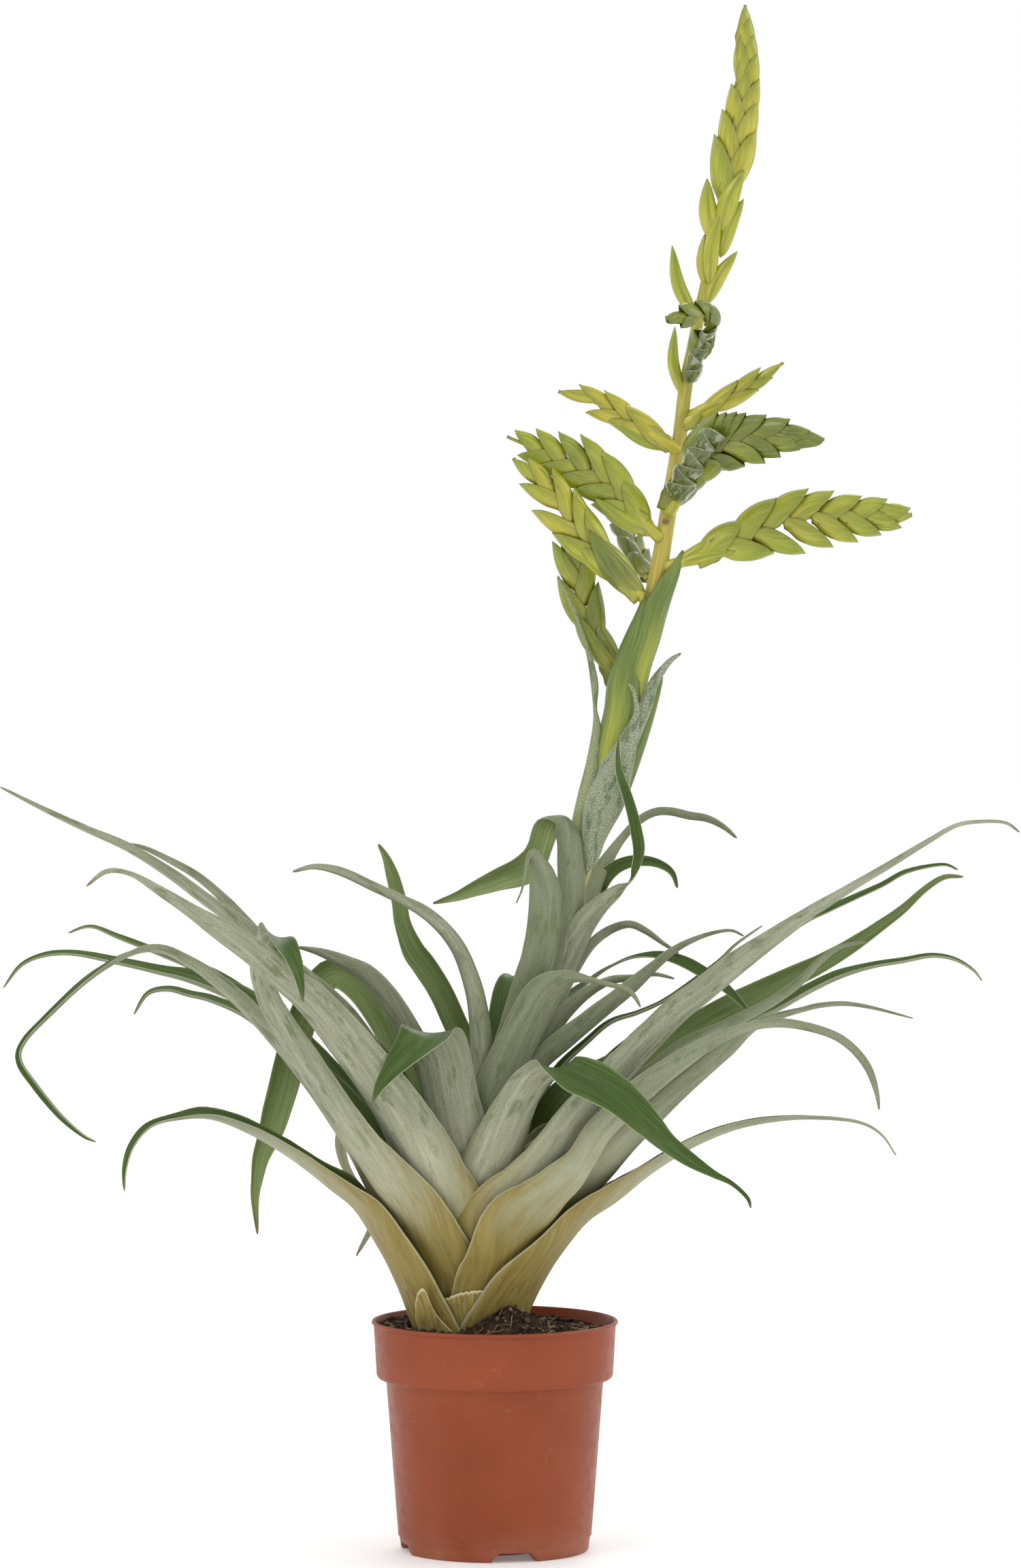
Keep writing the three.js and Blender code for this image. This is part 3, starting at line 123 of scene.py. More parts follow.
LEAVES = {
    "left_low": leaf(72, [
        (-67, -9, 170, 44), (-80, -14, 181, 31), (-100, -22, 195.5, 23), (-120, -30, 207, 19),
        (-140, -38, 214, 14), (-158, -45, 212.5, 7), (-170, -50, 208.5, 6), (-178, -54, 199, 5),
        (-181.5, -57, 188, 3.5), (-182, -58, 177, 1.2),
    ], swell=1.17, tone=0.3),
    "right_low": leaf(88, [
        (44, -8, 163, 50), (58, -10, 174, 32), (74, -12, 186, 22), (88, -14, 195, 18),
        (100, -15, 201.5, 16), (115, -16, 207.5, 13), (130, -17, 211, 10), (147, -18, 212.8, 7),
        (165, -18, 212.5, 5), (180, -18, 210.3, 4), (190, -18, 204.5, 3), (197, -18, 194.5, 1.2),
    ], swell=0.96, tone=0.5),
    "right_front": leaf(53, [
        (14, -40.5, 158, 36), (25.4, -44, 171.2, 27), (35.6, -47, 180.7, 27), (44, -48, 191.1, 20),
        (52, -50, 204.1, 18.5), (61, -51, 213.6, 18.5), (70, -52, 222.6, 18.5), (79, -54, 230.1, 17),
        (89, -55, 237.6, 15), (100.7, -56, 245.9, 11.5), (110.3, -56, 251.2, 9), (121, -56, 256, 6.5),
        (134, -56, 258.8, 6.5), (147.7, -56, 258.3, 6), (164, -56, 254, 5.5), (174.5, -56, 247.5, 5.5),
        (182.7, -56, 237.4, 5), (187, -56, 226, 3), (188.7, -56, 217, 1.2),
    ], tone=0.6),
    "front": leaf(44, [
        (-6, -34, 178, 34), (-1, -37, 190, 30), (2.5, -40, 200, 27), (5.5, -43, 208, 24),
        (10.5, -47, 219, 20.5), (16.5, -53, 229, 18.5), (22.5, -60, 235, 17), (27.5, -69, 238, 17, 10),
        (33, -79, 237.5, 18, 45), (41, -87, 233.5, 20, 70), (50, -92, 229.5, 20.5), (62, -98, 222, 18),
        (74.5, -104, 210.2, 14), (84.5, -109, 200.3, 9.8), (95.5, -115, 192.2, 7.5), (107, -119, 185.3, 4),
        (116.5, -121, 180.4, 2.4), (123.8, -123, 173.7, 2), (125.8, -124, 168.5, 1.2),
    ], channel=34, tone=0.05),
    "front_left": leaf(60, [
        (-30, -36, 172, 44), (-38, -44, 194, 36), (-48, -52, 213, 31), (-61, -60, 232, 28),
        (-75, -68, 250, 26), (-90, -73, 268, 22), (-105, -77, 281, 19), (-120, -80, 293.5, 17),
        (-135, -83, 304, 14), (-150, -85, 314.5, 9), (-165, -87, 324.5, 6), (-178, -88, 332.5, 3),
        (-190, -89, 334, 3), (-200, -89, 327, 1.2),
    ], tone=0),
    "left_front": leaf(60, [
        (-46, -34, 170, 46), (-58, -40, 188, 34), (-70, -46, 203, 28), (-84, -51, 224, 25),
        (-96, -54, 243, 23), (-106, -55, 258, 21), (-113, -54, 272, 19), (-117, -52, 286, 16, 0),
        (-113.5, -54, 297, 15, 15), (-109.5, -62, 303.5, 14.5, 50), (-104, -76, 299.5, 13, 85),
        (-99, -84, 290, 9), (-96, -92, 281, 5.5), (-94, -95, 270, 1.2),
    ], channel=42, tone=0.15),
    "fold_left": leaf(40, [
        (-14, -33, 186, 26), (-16, -35, 200, 27), (-19, -37, 213, 27), (-22.3, -39, 229, 25.5),
        (-24.8, -41, 241, 25.5), (-28, -44, 250.5, 27, -10), (-32, -51, 255.5, 26, -28),
        (-35, -60, 253.5, 25, -38), (-39.5, -65, 248.5, 20), (-45.5, -69, 242, 15), (-51.5, -73, 235, 10),
        (-56.5, -76, 228, 5.5), (-60, -78, 220.5, 1.2),
    ], channel=26, tone=0.1),
    "right_big": leaf(60, [
        (5, -37, 163, 36), (17, -39.5, 179, 29), (25.5, -41, 189.5, 25), (32.5, -43, 199.5, 23),
        (40, -43, 210.5, 21), (48, -43, 219.5, 20), (61.5, -43, 235, 19), (73, -43, 247.5, 18),
        (90, -43.5, 264.5, 16.5), (101, -44, 273, 15.5), (118, -44, 287, 14.5), (135, -44, 299.5, 11),
        (155, -44, 313.5, 7.5), (175, -44, 326, 5), (195, -44, 338, 4), (212, -44, 348.5, 3),
        (226, -44, 356.5, 2.3), (238, -44, 358.5, 1.8), (250, -44, 358, 1.5), (257, -44, 353.5, 1),
    ], tone=0),
    "centre_right": leaf(36, [
        (-5, -25, 190, 24), (-1, -27, 212, 25), (4, -29, 229, 24), (8, -31, 240, 22), (13, -34, 251, 21),
        (18.5, -38, 262, 21), (24, -42, 272, 20), (30, -46, 278, 16), (37, -50, 281.5, 9),
        (46, -53, 280.5, 5), (55, -56, 278.5, 3.4), (63, -58, 276.5, 3.6), (68, -60, 273, 3.5),
        (71.5, -62, 267.5, 1.4),
    ], tone=0.8),
    "centre_arch": leaf(18, [
        (-9, -23, 200, 13), (-8, -25, 225, 13), (-6.5, -26, 248, 11), (-8.3, -27, 268, 9.5),
        (-11.8, -26, 282, 8.5), (-17, -27, 295, 7.5), (-24, -28, 305, 6.8), (-34, -27, 314, 6),
        (-45, -28, 320, 4.8), (-60, -29, 327, 4.5), (-75, -30, 334, 4.2), (-88, -31, 336.5, 2.6),
        (-99, -32, 334, 1.2),
    ]),
    "tall_centre": leaf(16, [
        (-4, -14, 200, 20), (2, -17, 225, 20), (10, -20, 250, 19), (18, -24, 275, 19.5),
        (22.6, -27, 290, 19.5), (25.6, -28, 306.7, 19), (26.2, -29, 321.5, 18), (24.6, -30, 330.5, 15),
        (22.2, -32, 336.5, 11), (20, -35, 341, 7.5), (17.4, -39, 342.2, 4.5), (15.8, -42, 338.5, 3),
        (15, -44, 332.5, 2.4), (13.3, -45, 325.2, 1.8), (10.5, -46, 318.6, 1),
    ], tone=0.9),
    "left_high": leaf(24, [
        (-24, -12, 175, 28), (-35, -14, 195, 24), (-55, -18, 228, 20), (-78, -22, 260, 16),
        (-100, -26, 286, 13), (-120, -30, 304, 11), (-140, -33, 318, 9.5), (-160, -36, 333, 8),
        (-180, -38, 345.5, 6.5), (-200, -39, 354.5, 5), (-220, -40, 364, 3.5), (-242, -41, 375.5, 1.2),
    ]),
    "left_green": leaf(18, [
        (-26, 2, 175, 27.2, 0), (-34, 4, 205, 22.9), (-52, 6, 238, 20.4), (-72, 8, 263, 17.8, 20),
        (-95, 9, 284, 15.3), (-115, 10, 301, 13.6), (-130, 10, 317, 11.9), (-145, 10, 330.5, 10.2),
        (-160, 10, 339.5, 7.6), (-172, 10, 345.5, 5.1), (-182, 10, 348, 1.7),
    ]),
    "left_hook": leaf(26, [
        (-56, 9, 172, 34, 0), (-68, 10, 194, 24), (-80, 12, 212, 20, 15), (-92, 14, 230, 18, 30),
        (-105, 16, 247, 19), (-120, 18, 264, 18), (-135, 18, 278, 16), (-150, 18, 289, 12),
        (-165, 17, 295.5, 10), (-180, 16, 293, 8, 15), (-200, 14, 280.5, 7, 0), (-220, 12, 262, 6),
        (-231, 10, 250, 6), (-233, 8, 241, 6), (-226, 6, 230, 6), (-214, 4, 215, 5), (-203, 2, 205, 3),
        (-196, 0, 201, 1.2),
    ]),
    "left_mid": leaf(22, [
        (-50, 24, 165, 30), (-70, 40, 205, 22), (-95, 52, 243, 18), (-120, 60, 268, 19.5),
        (-145, 66, 280, 15.6), (-165, 70, 285, 10), (-185, 72, 289.5, 8), (-205, 74, 293.5, 6),
        (-220, 74, 293, 5), (-232, 72, 288, 3.5), (-241, 70, 277, 1.2),
    ]),
    "left_thin": leaf(16, [
        (-40, 30, 170, 26), (-62, 50, 210, 18), (-95, 66, 250, 13), (-130, 76, 278, 9), (-150, 80, 288, 7),
        (-171, 83, 296.5, 5), (-185, 84, 302, 4), (-198, 84, 307, 2.5), (-209, 83, 304, 1.2),
    ]),
    "left_short": leaf(14, [
        (-38, 14, 170, 26), (-60, 22, 205, 20), (-82, 30, 230, 16), (-100, 38, 245, 13),
        (-120, 44, 262, 10), (-138, 48, 270.5, 8), (-150, 50, 273.5, 7), (-160, 51, 276, 6),
        (-170, 51, 274, 4.5), (-177, 50, 264, 1.5),
    ]),
    "left_loop": leaf(14, [
        (-26, 14, 180, 20), (-36, 24, 215, 19), (-52, 34, 250, 18, 0), (-66, 40, 275, 16, -25),
        (-79, 43, 284, 15, -50), (-90, 44, 272, 14, -60), (-98, 43, 250, 15), (-103.2, 42, 230, 15),
        (-107.2, 41, 216, 14), (-110.2, 40, 205.4, 12), (-114.8, 39, 193.5, 8.5), (-116.7, 38, 183, 6),
        (-117.8, 37, 172.7, 4), (-116.6, 36, 155.6, 1.2),
    ], tone=1.8),
    "left_inner": leaf(16, [
        (-18, -6, 185, 20), (-26, -10, 208, 19), (-34, -13, 235, 18), (-43, -15, 253, 17),
        (-53, -17, 270, 16), (-63, -19, 282, 14), (-74, -21, 288.5, 11), (-86, -22, 294, 6),
        (-97, -23, 297, 1.5),
    ]),
    "centre_twist": leaf(12, [
        (-10, 4, 200, 14), (-11, 6, 225, 14), (-14, 9, 248, 13), (-19.5, 11, 262, 13), (-26, 13, 276, 13),
        (-33.5, 15, 288, 13), (-39.3, 16, 296, 12), (-44.3, 17, 308, 9), (-46.4, 18, 320, 8),
        (-49.6, 19, 332, 7), (-53, 20, 341, 4), (-57, 21, 347.5, 1.3),
    ], tone=1.8),
    "centre_back": leaf(10, [
        (-4, 12, 210, 20), (0, 18, 240, 16), (3, 24, 262, 13), (5, 30, 276, 11), (8, 38, 283, 9),
        (13, 48, 281, 6), (18, 58, 272, 1.5),
    ]),
    "stalk_fold": leaf(9, [
        (8, -8, 240, 16), (20, -9, 272, 17, -45), (31, -10, 293, 17, -60), (36, -11, 312, 16),
        (37.8, -12, 328, 14), (37.4, -13, 340, 13), (36.8, -14, 351, 12.5, -45), (33, -15, 360, 13, 10),
        (26, -12, 357, 13, 75), (22.5, -9, 347, 12, 90), (19.5, -6, 339.5, 14, 105), (13.3, -1, 334.5, 14),
        (2.2, 4, 330.5, 11), (-9, 8, 326, 7.5), (-18.5, 11, 322, 4.5), (-30.3, 12, 318.4, 1.3),
    # Painted light: the inner face is painted paler, as if lit through from behind.
    ], light=1),
    "stalk_curl": leaf(9, [
        (14, -4, 240, 18, 0), (26, -6, 268, 16, -40), (36, -9, 292, 15, -60), (43, -12, 306, 14),
        (52, -14, 317, 10), (61, -15, 325, 6), (67, -16, 330, 2.2, 30), (69, -16, 337, 4.5, 115),
        (70.3, -17, 345, 6), (69, -18, 354, 6), (67, -18, 363, 5.5), (64, -18, 373, 5), (61, -18, 382, 4),
        (60, -18, 391, 2.5), (60.5, -18, 400, 1),
    ], tone=0.2),
    "arch_thin": leaf(7, [
        (14, 1, 230, 12, 0), (23, 2, 252, 10, -40), (32, 4, 270, 9), (40, 6, 286, 8), (48, 8, 298, 7),
        (57, 11, 305, 6), (66, 11, 307.7, 5), (74, 12, 304.5, 4), (82, 13, 299, 2.5), (90, 14, 294, 1.2),
    ]),
    "arch_twist": leaf(8, [
        (12, 16, 215, 14, 0), (20, 17, 240, 12, -40), (28, 18, 262, 10), (37, 19, 273.5, 9),
        (46, 19, 280, 7), (55, 19, 286.5, 4), (66, 19, 291.5, 3, -20), (77, 18, 293, 4, 10),
        (86, 16, 291.5, 6), (94, 13, 288.5, 7), (102, 10, 284, 7), (110, 6, 279, 6), (118, 2, 272, 4),
        (125, -3, 264.5, 1.2),
    ]),
    "dark_short": leaf(7, [
        (26, 25, 262, 14, 0), (38, 26, 285, 12), (44, 27, 300, 11), (47, 28, 316, 9, 50), (52, 29, 328, 8),
        (58, 30, 335, 7), (66, 31, 338.7, 6), (75, 33, 339, 5), (82, 34, 337, 4), (87, 35, 333, 3),
        (89.5, 35, 326, 1.2),
    ]),
    "long_thin": leaf(6, [
        (24, 18, 255, 14, 0), (34, 20, 282, 13, -60), (40, 21, 300, 12, -90), (45, 23, 318, 11, -100),
        (51, 28, 332, 9), (57, 36, 342.5, 6), (63, 44, 351, 4), (70, 44, 358.5, 4), (78, 44, 363, 4),
        (86, 44, 363.5, 4), (95, 44, 361.5, 4), (104, 44, 360, 3.5), (112, 44, 356, 2.5),
        (118.5, 44, 350.5, 1.1),
    ]),
    "right_grey": leaf(20, [
        (12, -22, 180, 28), (28, -24, 196, 24), (45, -26, 208, 20), (63, -28, 222, 17), (80, -29, 236, 14),
        (95, -30, 248, 12), (110, -30, 255.5, 10), (125, -30, 263, 9), (138, -29, 270.5, 8),
        (150, -28, 279.5, 7), (160, -27, 290, 5), (170, -26, 297, 3), (182, -25, 299.5, 1.2),
    ]),
    "right_centre": leaf(16, [
        (4, -12, 200, 14), (13, -16, 222, 16), (22, -19, 238, 18), (34, -22, 249, 19), (46, -25, 259, 17),
        (57, -28, 268, 15), (68, -31, 277, 13), (78, -34, 286.5, 9), (88, -36, 295, 6.5),
        (98, -38, 300.5, 4.5), (108, -38, 304, 3), (116, -38, 305, 2.2), (122, -38, 302.5, 1.2),
    ]),
    "grey_centre": leaf(8, [
        (18, -11, 235, 13, 0), (24, -12, 248, 11, -40), (32, -13, 261, 10), (41, -14, 270.5, 8),
        (50, -15, 277, 6), (58, -16, 280.5, 5), (68, -17, 281.5, 4), (78, -18, 283.5, 2.5),
        (88, -18, 281.5, 1.2),
    ]),
    "right_under": leaf(30, [
        (30, -14, 166, 40, 0), (47.5, -16, 182, 28, -28), (63.7, -18, 198.8, 22), (78.7, -19, 213.6, 18),
        (91.9, -20, 226.3, 16), (104.7, -20, 237.5, 14), (116.3, -19, 247.5, 12), (127, -18, 257, 9.5, -12),
        (138, -17, 262, 7), (150, -16, 265.6, 6.2, 0), (160, -16, 268, 6), (172, -16, 268.8, 5),
        (185, -16, 267, 3.5), (205, -16, 262, 1.2),
    ]),
    "right_green": leaf(20, [
        (24, 10, 172, 28), (38, 11, 190, 22), (60, 12, 215, 18), (85, 13, 237, 15), (105, 13, 250, 13),
        (125, 13, 260.1, 12.8), (140, 13, 267.6, 11.8), (155, 13, 276.1, 10.8), (170, 13, 283.1, 9.8),
        (185, 13, 287.5, 7), (200, 13, 290, 6), (214, 13, 292.5, 5), (225, 13, 291, 4), (234, 13, 286, 2.5),
        (239, 13, 280.5, 1.1),
    ]),
    "right_dark": leaf(18, [
        (10, 2, 185, 26, 0), (22, 5, 205, 26), (38, 8, 222, 23, 55), (58, 12, 235, 18),
        (80.4, 17, 246.2, 15.8), (98.4, 23, 256.2, 15.2), (115.4, 27, 265.7, 15.2),
        (130.4, 31, 273.2, 14.2), (145.4, 32, 280.7, 12.7), (160.5, 32, 288.2, 10.6),
        (175.5, 32, 297.2, 8.6), (190.4, 32, 307.8, 6.3), (200.4, 32, 315.4, 5), (210.2, 32, 324.6, 3.6),
        (220, 32, 331, 3), (229.5, 32, 331.5, 1.4),
    ], tone=1.6),
    "right_thread": leaf(7, [
        (10, 6, 205, 12), (30, 9, 235, 9), (45, 11, 250, 7), (57, 13, 260, 6), (70, 16, 264.5, 5),
        (83, 18, 270.5, 4), (98, 20, 281, 3.5), (111, 22, 291, 3), (118, 23, 298, 2.5),
        (131, 24, 307.5, 1.2),
    ]),
    "right_back": leaf(14, [
        (8, 24, 180, 24), (24, 30, 205, 19), (45, 38, 226, 15), (75, 46, 254, 11), (100, 52, 272, 9),
        (125, 56, 291, 7), (150, 59, 308.5, 5), (163, 60, 315, 4.5), (177, 61, 321.5, 4),
        (190, 62, 327.5, 3.5), (202, 62, 334, 3), (219, 62, 337.4, 2), (227, 61, 335, 1.1),
    ]),
    "back_droop": leaf(18, [
        (-24, 30, 165, 28), (-32, 50, 190, 22), (-38, 73, 204, 18), (-44, 94, 202, 14), (-49, 110, 187, 9),
        (-57, 122, 165, 5), (-68, 130, 145, 1.2),
    ]),
    "back_bulge": leaf(16, [
        (-27.5, 20, 170, 26), (-40.5, 36, 192, 22), (-55.5, 50, 208, 18), (-67.5, 58, 213, 15),
        (-74.5, 62, 205, 12), (-73.5, 64, 192, 9), (-68.5, 64, 182, 5), (-63.5, 64, 175, 2),
    ]),
    "back_centre": leaf(26, [
        (-12, 44, 170, 26), (-15, 66, 196, 24), (-18, 94, 218, 22), (-20, 128, 232, 17),
        (-22, 160, 232, 12), (-24, 184, 219, 6), (-25, 196, 203, 1.5),
    ]),
    "back_right": leaf(24, [
        (8, 34, 170, 24), (16, 54, 193, 22), (23, 84, 210, 19), (26, 124, 220, 15), (31, 154, 218, 10),
        (35, 176, 206, 5), (37, 186, 193, 1.5),
    ]),
    "back_tall": leaf(14, [
        (-4, 20, 200, 15), (0, 38, 230, 15), (2, 62, 250, 14), (8, 88, 258, 10), (13, 110, 252, 5),
        (16, 122, 240, 1.5),
    ]),
    "back_inner": leaf(14, [
        (-18, 14, 198, 16), (-22, 32, 224, 15), (-30, 58, 242, 14), (-34, 84, 246, 10), (-37, 106, 236, 5),
        (-39, 116, 224, 1.5),
    ]),
}

STALK_SHEATHS = {
    "silvery": {"facing": (-0.35, -1, 0), "channel": 70, "tone": 0, "stations": [
        (43.6, -7, 333, 2.5), (46.5, -9, 341, 8), (47.8, -10, 352, 13), (51, -11, 364.5, 19),
        (55, -11.5, 374.5, 19), (61, -12, 387.5, 13.5), (65.5, -12.5, 398.7, 8), (69.3, -13, 412, 2.8),
        (68, -13.5, 422, 1.6), (65.2, -14, 426.5, 1),
    ]},
    "grey_tip": {"facing": (-0.1, -1, 0), "channel": 60, "tone": 0.15, "stations": [
        (51, -5, 368, 5), (54, -7.5, 376, 11), (58.5, -8, 387, 13), (65.5, -8.5, 401, 11),
        (73, -8, 414.5, 7.5), (77.5, -7, 426, 5), (82.5, -6, 433.5, 3.4), (86.5, -5, 438, 2.4),
        (91, -4, 441, 1.1),
    ]},
    "green_left": {"facing": (-0.5, -1, 0), "channel": 68, "tone": 1, "stations": [
        (52, -4, 374, 5), (54, -5, 386, 13), (57.5, -5.5, 400, 18), (60.3, -6, 413, 18.5),
        (61.8, -6.5, 427, 17.5), (66, -6.5, 444.5, 11.5), (70.7, -6.5, 460, 5), (73.5, -6.5, 470, 1.2),
    ]},
    "green_right": {"facing": (0.8, -1, 0), "channel": 75, "tone": 1, "stations": [
        (66, -3, 408, 5), (69, -4, 420, 13), (72, -5.5, 435, 16), (76, -6, 448, 17), (79.5, -6.5, 460, 16),
        (84, -6, 471, 12), (88.5, -5, 481, 7), (92, -4, 491.5, 1.2),
    ]},
    "green_back": {"facing": (0.6, -1, 0), "channel": 60, "tone": 2, "stations": [
        (58, 3, 360, 4), (63, 3, 376, 11), (69, 2, 394, 12), (74.5, 1, 408, 8.5), (79, 1, 420, 4.5),
        (82, 1, 429.5, 1.2),
    ]},
    "narrow_left": {"facing": (-0.8, -1, 0), "channel": 60, "tone": 0.5, "stations": [
        (36, -1, 340, 5), (40, -2, 354, 10), (43.5, -3, 370, 10), (47, -3, 386, 8), (49.5, -2, 404, 5),
        (49, -1, 414, 2), (48.5, 0, 426, 4.2), (46, 1, 440, 2.8), (42, 2, 453, 1.8), (37.5, 2, 465, 1.4),
        (31, 2, 479, 1),
    ]},
}

# The flower stalk: (x, depth, z, radius).
STALK_LINE = [
    (-12, 0, 150, 5), (-9, 0, 178, 4.6), (-5, 0, 205, 4.4), (5, 0, 236, 4.4), (17, 0, 266, 4.4),
    (31, 0, 303, 4.6), (43, 0, 337, 5), (52, 0, 370, 5.2), (60, 0, 400, 5), (67, 0, 427, 4.6),
    (73, 0, 452, 4.4), (79, 0, 476, 4.3), (84, 0, 505, 4.2), (89.5, 0, 540, 3.7), (93, 0, 570, 3.3),
    (97, 0, 592, 3), (103, 0, 622, 2.6), (106, 0, 638, 2),
]
BUDS = [((92, -2, 566), (88, -4, 601), 6), ((99, -1, 603), (86.5, -2, 640.5), 7)]

# The stubs of two old sheaths at the front of the foot. "share" is their share of the funnel's radius,
# "edge" is their upper edge as (azimuth, height), and "lean" turns their foot, both in degrees.
STUBS = [
    {
        "share": 1.26, "lean": 0,
        "edge": [(-141, 116), (-130, 128), (-121, 133), (-118, 121), (-107, 112), (-97, 109)],
    },
    {
        "share": 0.99, "lean": -13,
        "edge": [(-124, 126.4), (-113, 127.2), (-101, 129.9), (-90, 131.4), (-76, 132)],
    },
]

# A spike's axis is a list of (x, depth, z). Its bracts overlap in two rows, one on each side of the
# axis: "tips" are read on the elevation as (x, z), and the others follow from "first", where the first
# tip lies along the axis, and "pitch", the step from tip to tip. "turn" is how far the rows are turned
# about the axis at its foot and at its end, in degrees.
SPIKES = {
    "right": {
        "depth": 8, "spread": 13, "peduncle": 3, "length": 28, "tone": 0.5,
        "axis": [
            (83, -1, 483), (100, -3, 489), (120, -4, 498), (140, -5, 505), (160, -5, 508), (182, -5, 508.5),
            (204, -5, 509),
        ],
        "tips": [
            (121, 506), (136.5, 490), (138, 517), (152, 490), (153.5, 521.5), (165.5, 493), (166, 520.5),
            (177.5, 495.5), (179.5, 518), (189, 499), (192, 516.5), (199, 502.5), (203.5, 512), (205, 508),
        ],
        "basal": [
            {"tip": (118, -7, 491), "width": 6.5, "bulge": 0.04},
            {"tip": (108, -4, 499), "width": 5.5, "bulge": -0.06},
        ],
    },
    "left_front": {
        "depth": 8, "spread": 11, "peduncle": 3, "length": 33, "tone": 0.4,
        "axis": [
            (76, -3, 465), (62, -7, 478), (50, -10, 491), (38, -12, 505), (26, -13, 521), (9, -14, 536.5),
        ],
        "tips": [
            (54, 497), (38, 494), (45, 513), (28, 500), (39, 522), (18, 511), (28, 532), (12, 524),
            (16, 537), (8, 536.5),
        ],
        "basal": [{"tip": (46, -17, 501.5), "width": 13, "tone": 0.95}],
    },
    "left_upper": {
        "depth": 7, "spread": 12, "peduncle": 3, "length": 28, "tone": 0.7,
        "axis": [(81, -2, 497), (69, -4, 509), (58, -5, 521), (42, -6, 531), (26, -6, 538), (6, -6, 547)],
        "tips": [
            (61, 528), (47, 514), (52, 540.5), (38, 521), (42, 548), (29, 526), (31, 549.5), (20, 532),
            (20, 551), (11, 538), (10, 550),
        ],
        "basal": [{"tip": (48.5, -10, 517), "width": 8.5}, {"tip": (60, -5, 527), "width": 8}],
    },
    "upright_left": {
        "depth": 8, "spread": 11.5, "peduncle": 3, "length": 36, "tone": 0.85,
        "axis": [(66, 6, 424), (57, 9, 434), (50, 11, 447), (44, 12, 461), (40, 12, 480), (36, 12, 504)],
        "tips": [
            (54.2, 443), (38.7, 461), (51.3, 457), (30.7, 478), (50.6, 476), (28.2, 495.6), (47, 493),
            (33, 503), (37, 506),
        ],
        "basal": [{"tip": (40, 5, 461), "width": 8}],
    },
    "high_left": {
        "depth": 7, "spread": 8.5, "peduncle": 3.4, "length": 30, "tone": 0.25,
        "axis": [(90, -1, 540), (78, -3, 547), (62, -4, 557), (46, -4, 565), (31, -4, 569)],
        "tips": [
            (58, 554), (63, 563.3), (54.2, 554.8), (53.6, 569.5), (44.2, 558.8), (40.9, 572.4),
            (30.4, 568.8),
        ],
        "basal": [{"tip": (57, -6, 554.5), "width": 7.5, "tone": 0.7}],
    },
    "high_right": {
        "depth": 6.5, "spread": 7, "peduncle": 3, "length": 30, "tone": 0.3,
        "axis": [(91, 0, 553), (104, -2, 559), (118, -3, 568), (132, -3, 577), (141, -3, 583)],
        "tips": [(102, 561), (118.6, 574.5), (128.8, 569.7), (130, 580.8), (135.9, 576), (140.2, 582.7)],
        "basal": [{"tip": (112, -5, 564), "width": 6.5}],
    },
    "front_right": {
        "depth": 8, "spread": 12, "peduncle": 3.6, "length": 30, "tone": 0.95, "blunt": 0.5,
        "axis": [
            (85, -3, 510), (91, -12, 521), (99, -24, 531), (108, -34, 540), (122, -44, 546),
            (142, -50, 547), (161, -54, 545.5),
        ],
        "tips": [
            (105, 556), (101, 528), (109, 559), (106, 532), (113.5, 559), (113, 534), (118, 559),
            (122, 532.5), (123, 558.5), (132, 534), (133, 557.5), (140, 537), (144, 555.5), (149, 540.5),
            (154, 550), (155.5, 543.8), (161, 546),
        ],
        "scales": {
            "from": 19, "to": 56, "count": 7, "width": 13.5, "length": 12,
            "line": [
                (87, -10, 514), (93.4, -22, 528), (99.5, -32, 538), (105.6, -39, 547), (112, -44, 552.5),
                (120, -47, 555),
            ],
        },
        "basal": [{"tip": (96, -22, 530), "width": 11, "tone": 0.85}],
    },
    "front_high": {
        "depth": 7, "spread": 7, "peduncle": 3, "length": 17, "tone": 0.95, "blunt": 1,
        "axis": [
            (95.5, -3, 576), (99, -9, 586), (103, -15, 594.5), (105, -23, 602), (102, -31, 606.5),
            (94, -38, 606.5), (83.5, -43, 605),
        ],
        "tips": [(103, 599.5), (103.5, 612), (97, 599), (98, 613), (91, 600), (90, 611), (83.5, 605)],
        "scales": {
            "from": 8, "to": 35, "count": 5, "width": 8.6, "length": 11,
        },
    },
    "back_left": {
        "first": 20, "pitch": 6, "bracts": 8, "depth": 8, "spread": 7.5, "peduncle": 2.6, "length": 26,
        "tone": 1, "turn": (40, 50),
        "axis": [(76, 4, 477), (71, 16, 486), (66, 28, 497), (61, 38, 505), (56, 46, 511)],
        "basal": [{"tip": (67, 24, 497), "width": 7}],
    },
    "top": {
        "depth": 9, "spread": 11, "peduncle": 3, "length": 34, "tone": 0.4,
        "axis": [
            (104, 0, 630), (109, 0, 650), (114, 0, 668), (117.5, 0, 686), (120, 0, 705), (122, 0, 725),
            (122.5, 0, 742), (122, 0, 757),
        ],
        "tips": [
            (107.1, 694.3), (127.5, 696), (111, 706.3), (128.4, 710), (115.4, 718.6), (128.9, 720.9),
            (120.5, 728), (128, 733.6), (118.6, 741), (126.4, 742.8), (119.4, 750), (124, 752),
            (122, 757.5),
        ],
        "basal": [
            {"from": (103, -1, 611), "tip": (118.5, -2, 637.5), "width": 7.5},
            {"from": (103, -1, 620), "tip": (102.5, -2, 646), "width": 6.5},
            {"from": (105, -3, 620), "tip": (110.5, -5, 658), "width": 8},
            {"from": (110, -1, 634), "tip": (121.5, -2, 663), "width": 8},
            {"from": (108, -2, 640), "tip": (103.6, -3, 673), "width": 9.5},
            {"from": (110, -3, 646), "tip": (121.5, -4, 677), "width": 10},
        ],
    },
}

# ---- Materials ----


def linear(red, green, blue):
    """A colour given as 0 to 255 in sRGB, in the linear values that sockets take."""
    shares = [value / 255 for value in (red, green, blue)]
    return (*[s / 12.92 if s <= 0.04045 else ((s + 0.055) / 1.055) ** 2.4 for s in shares], 1)


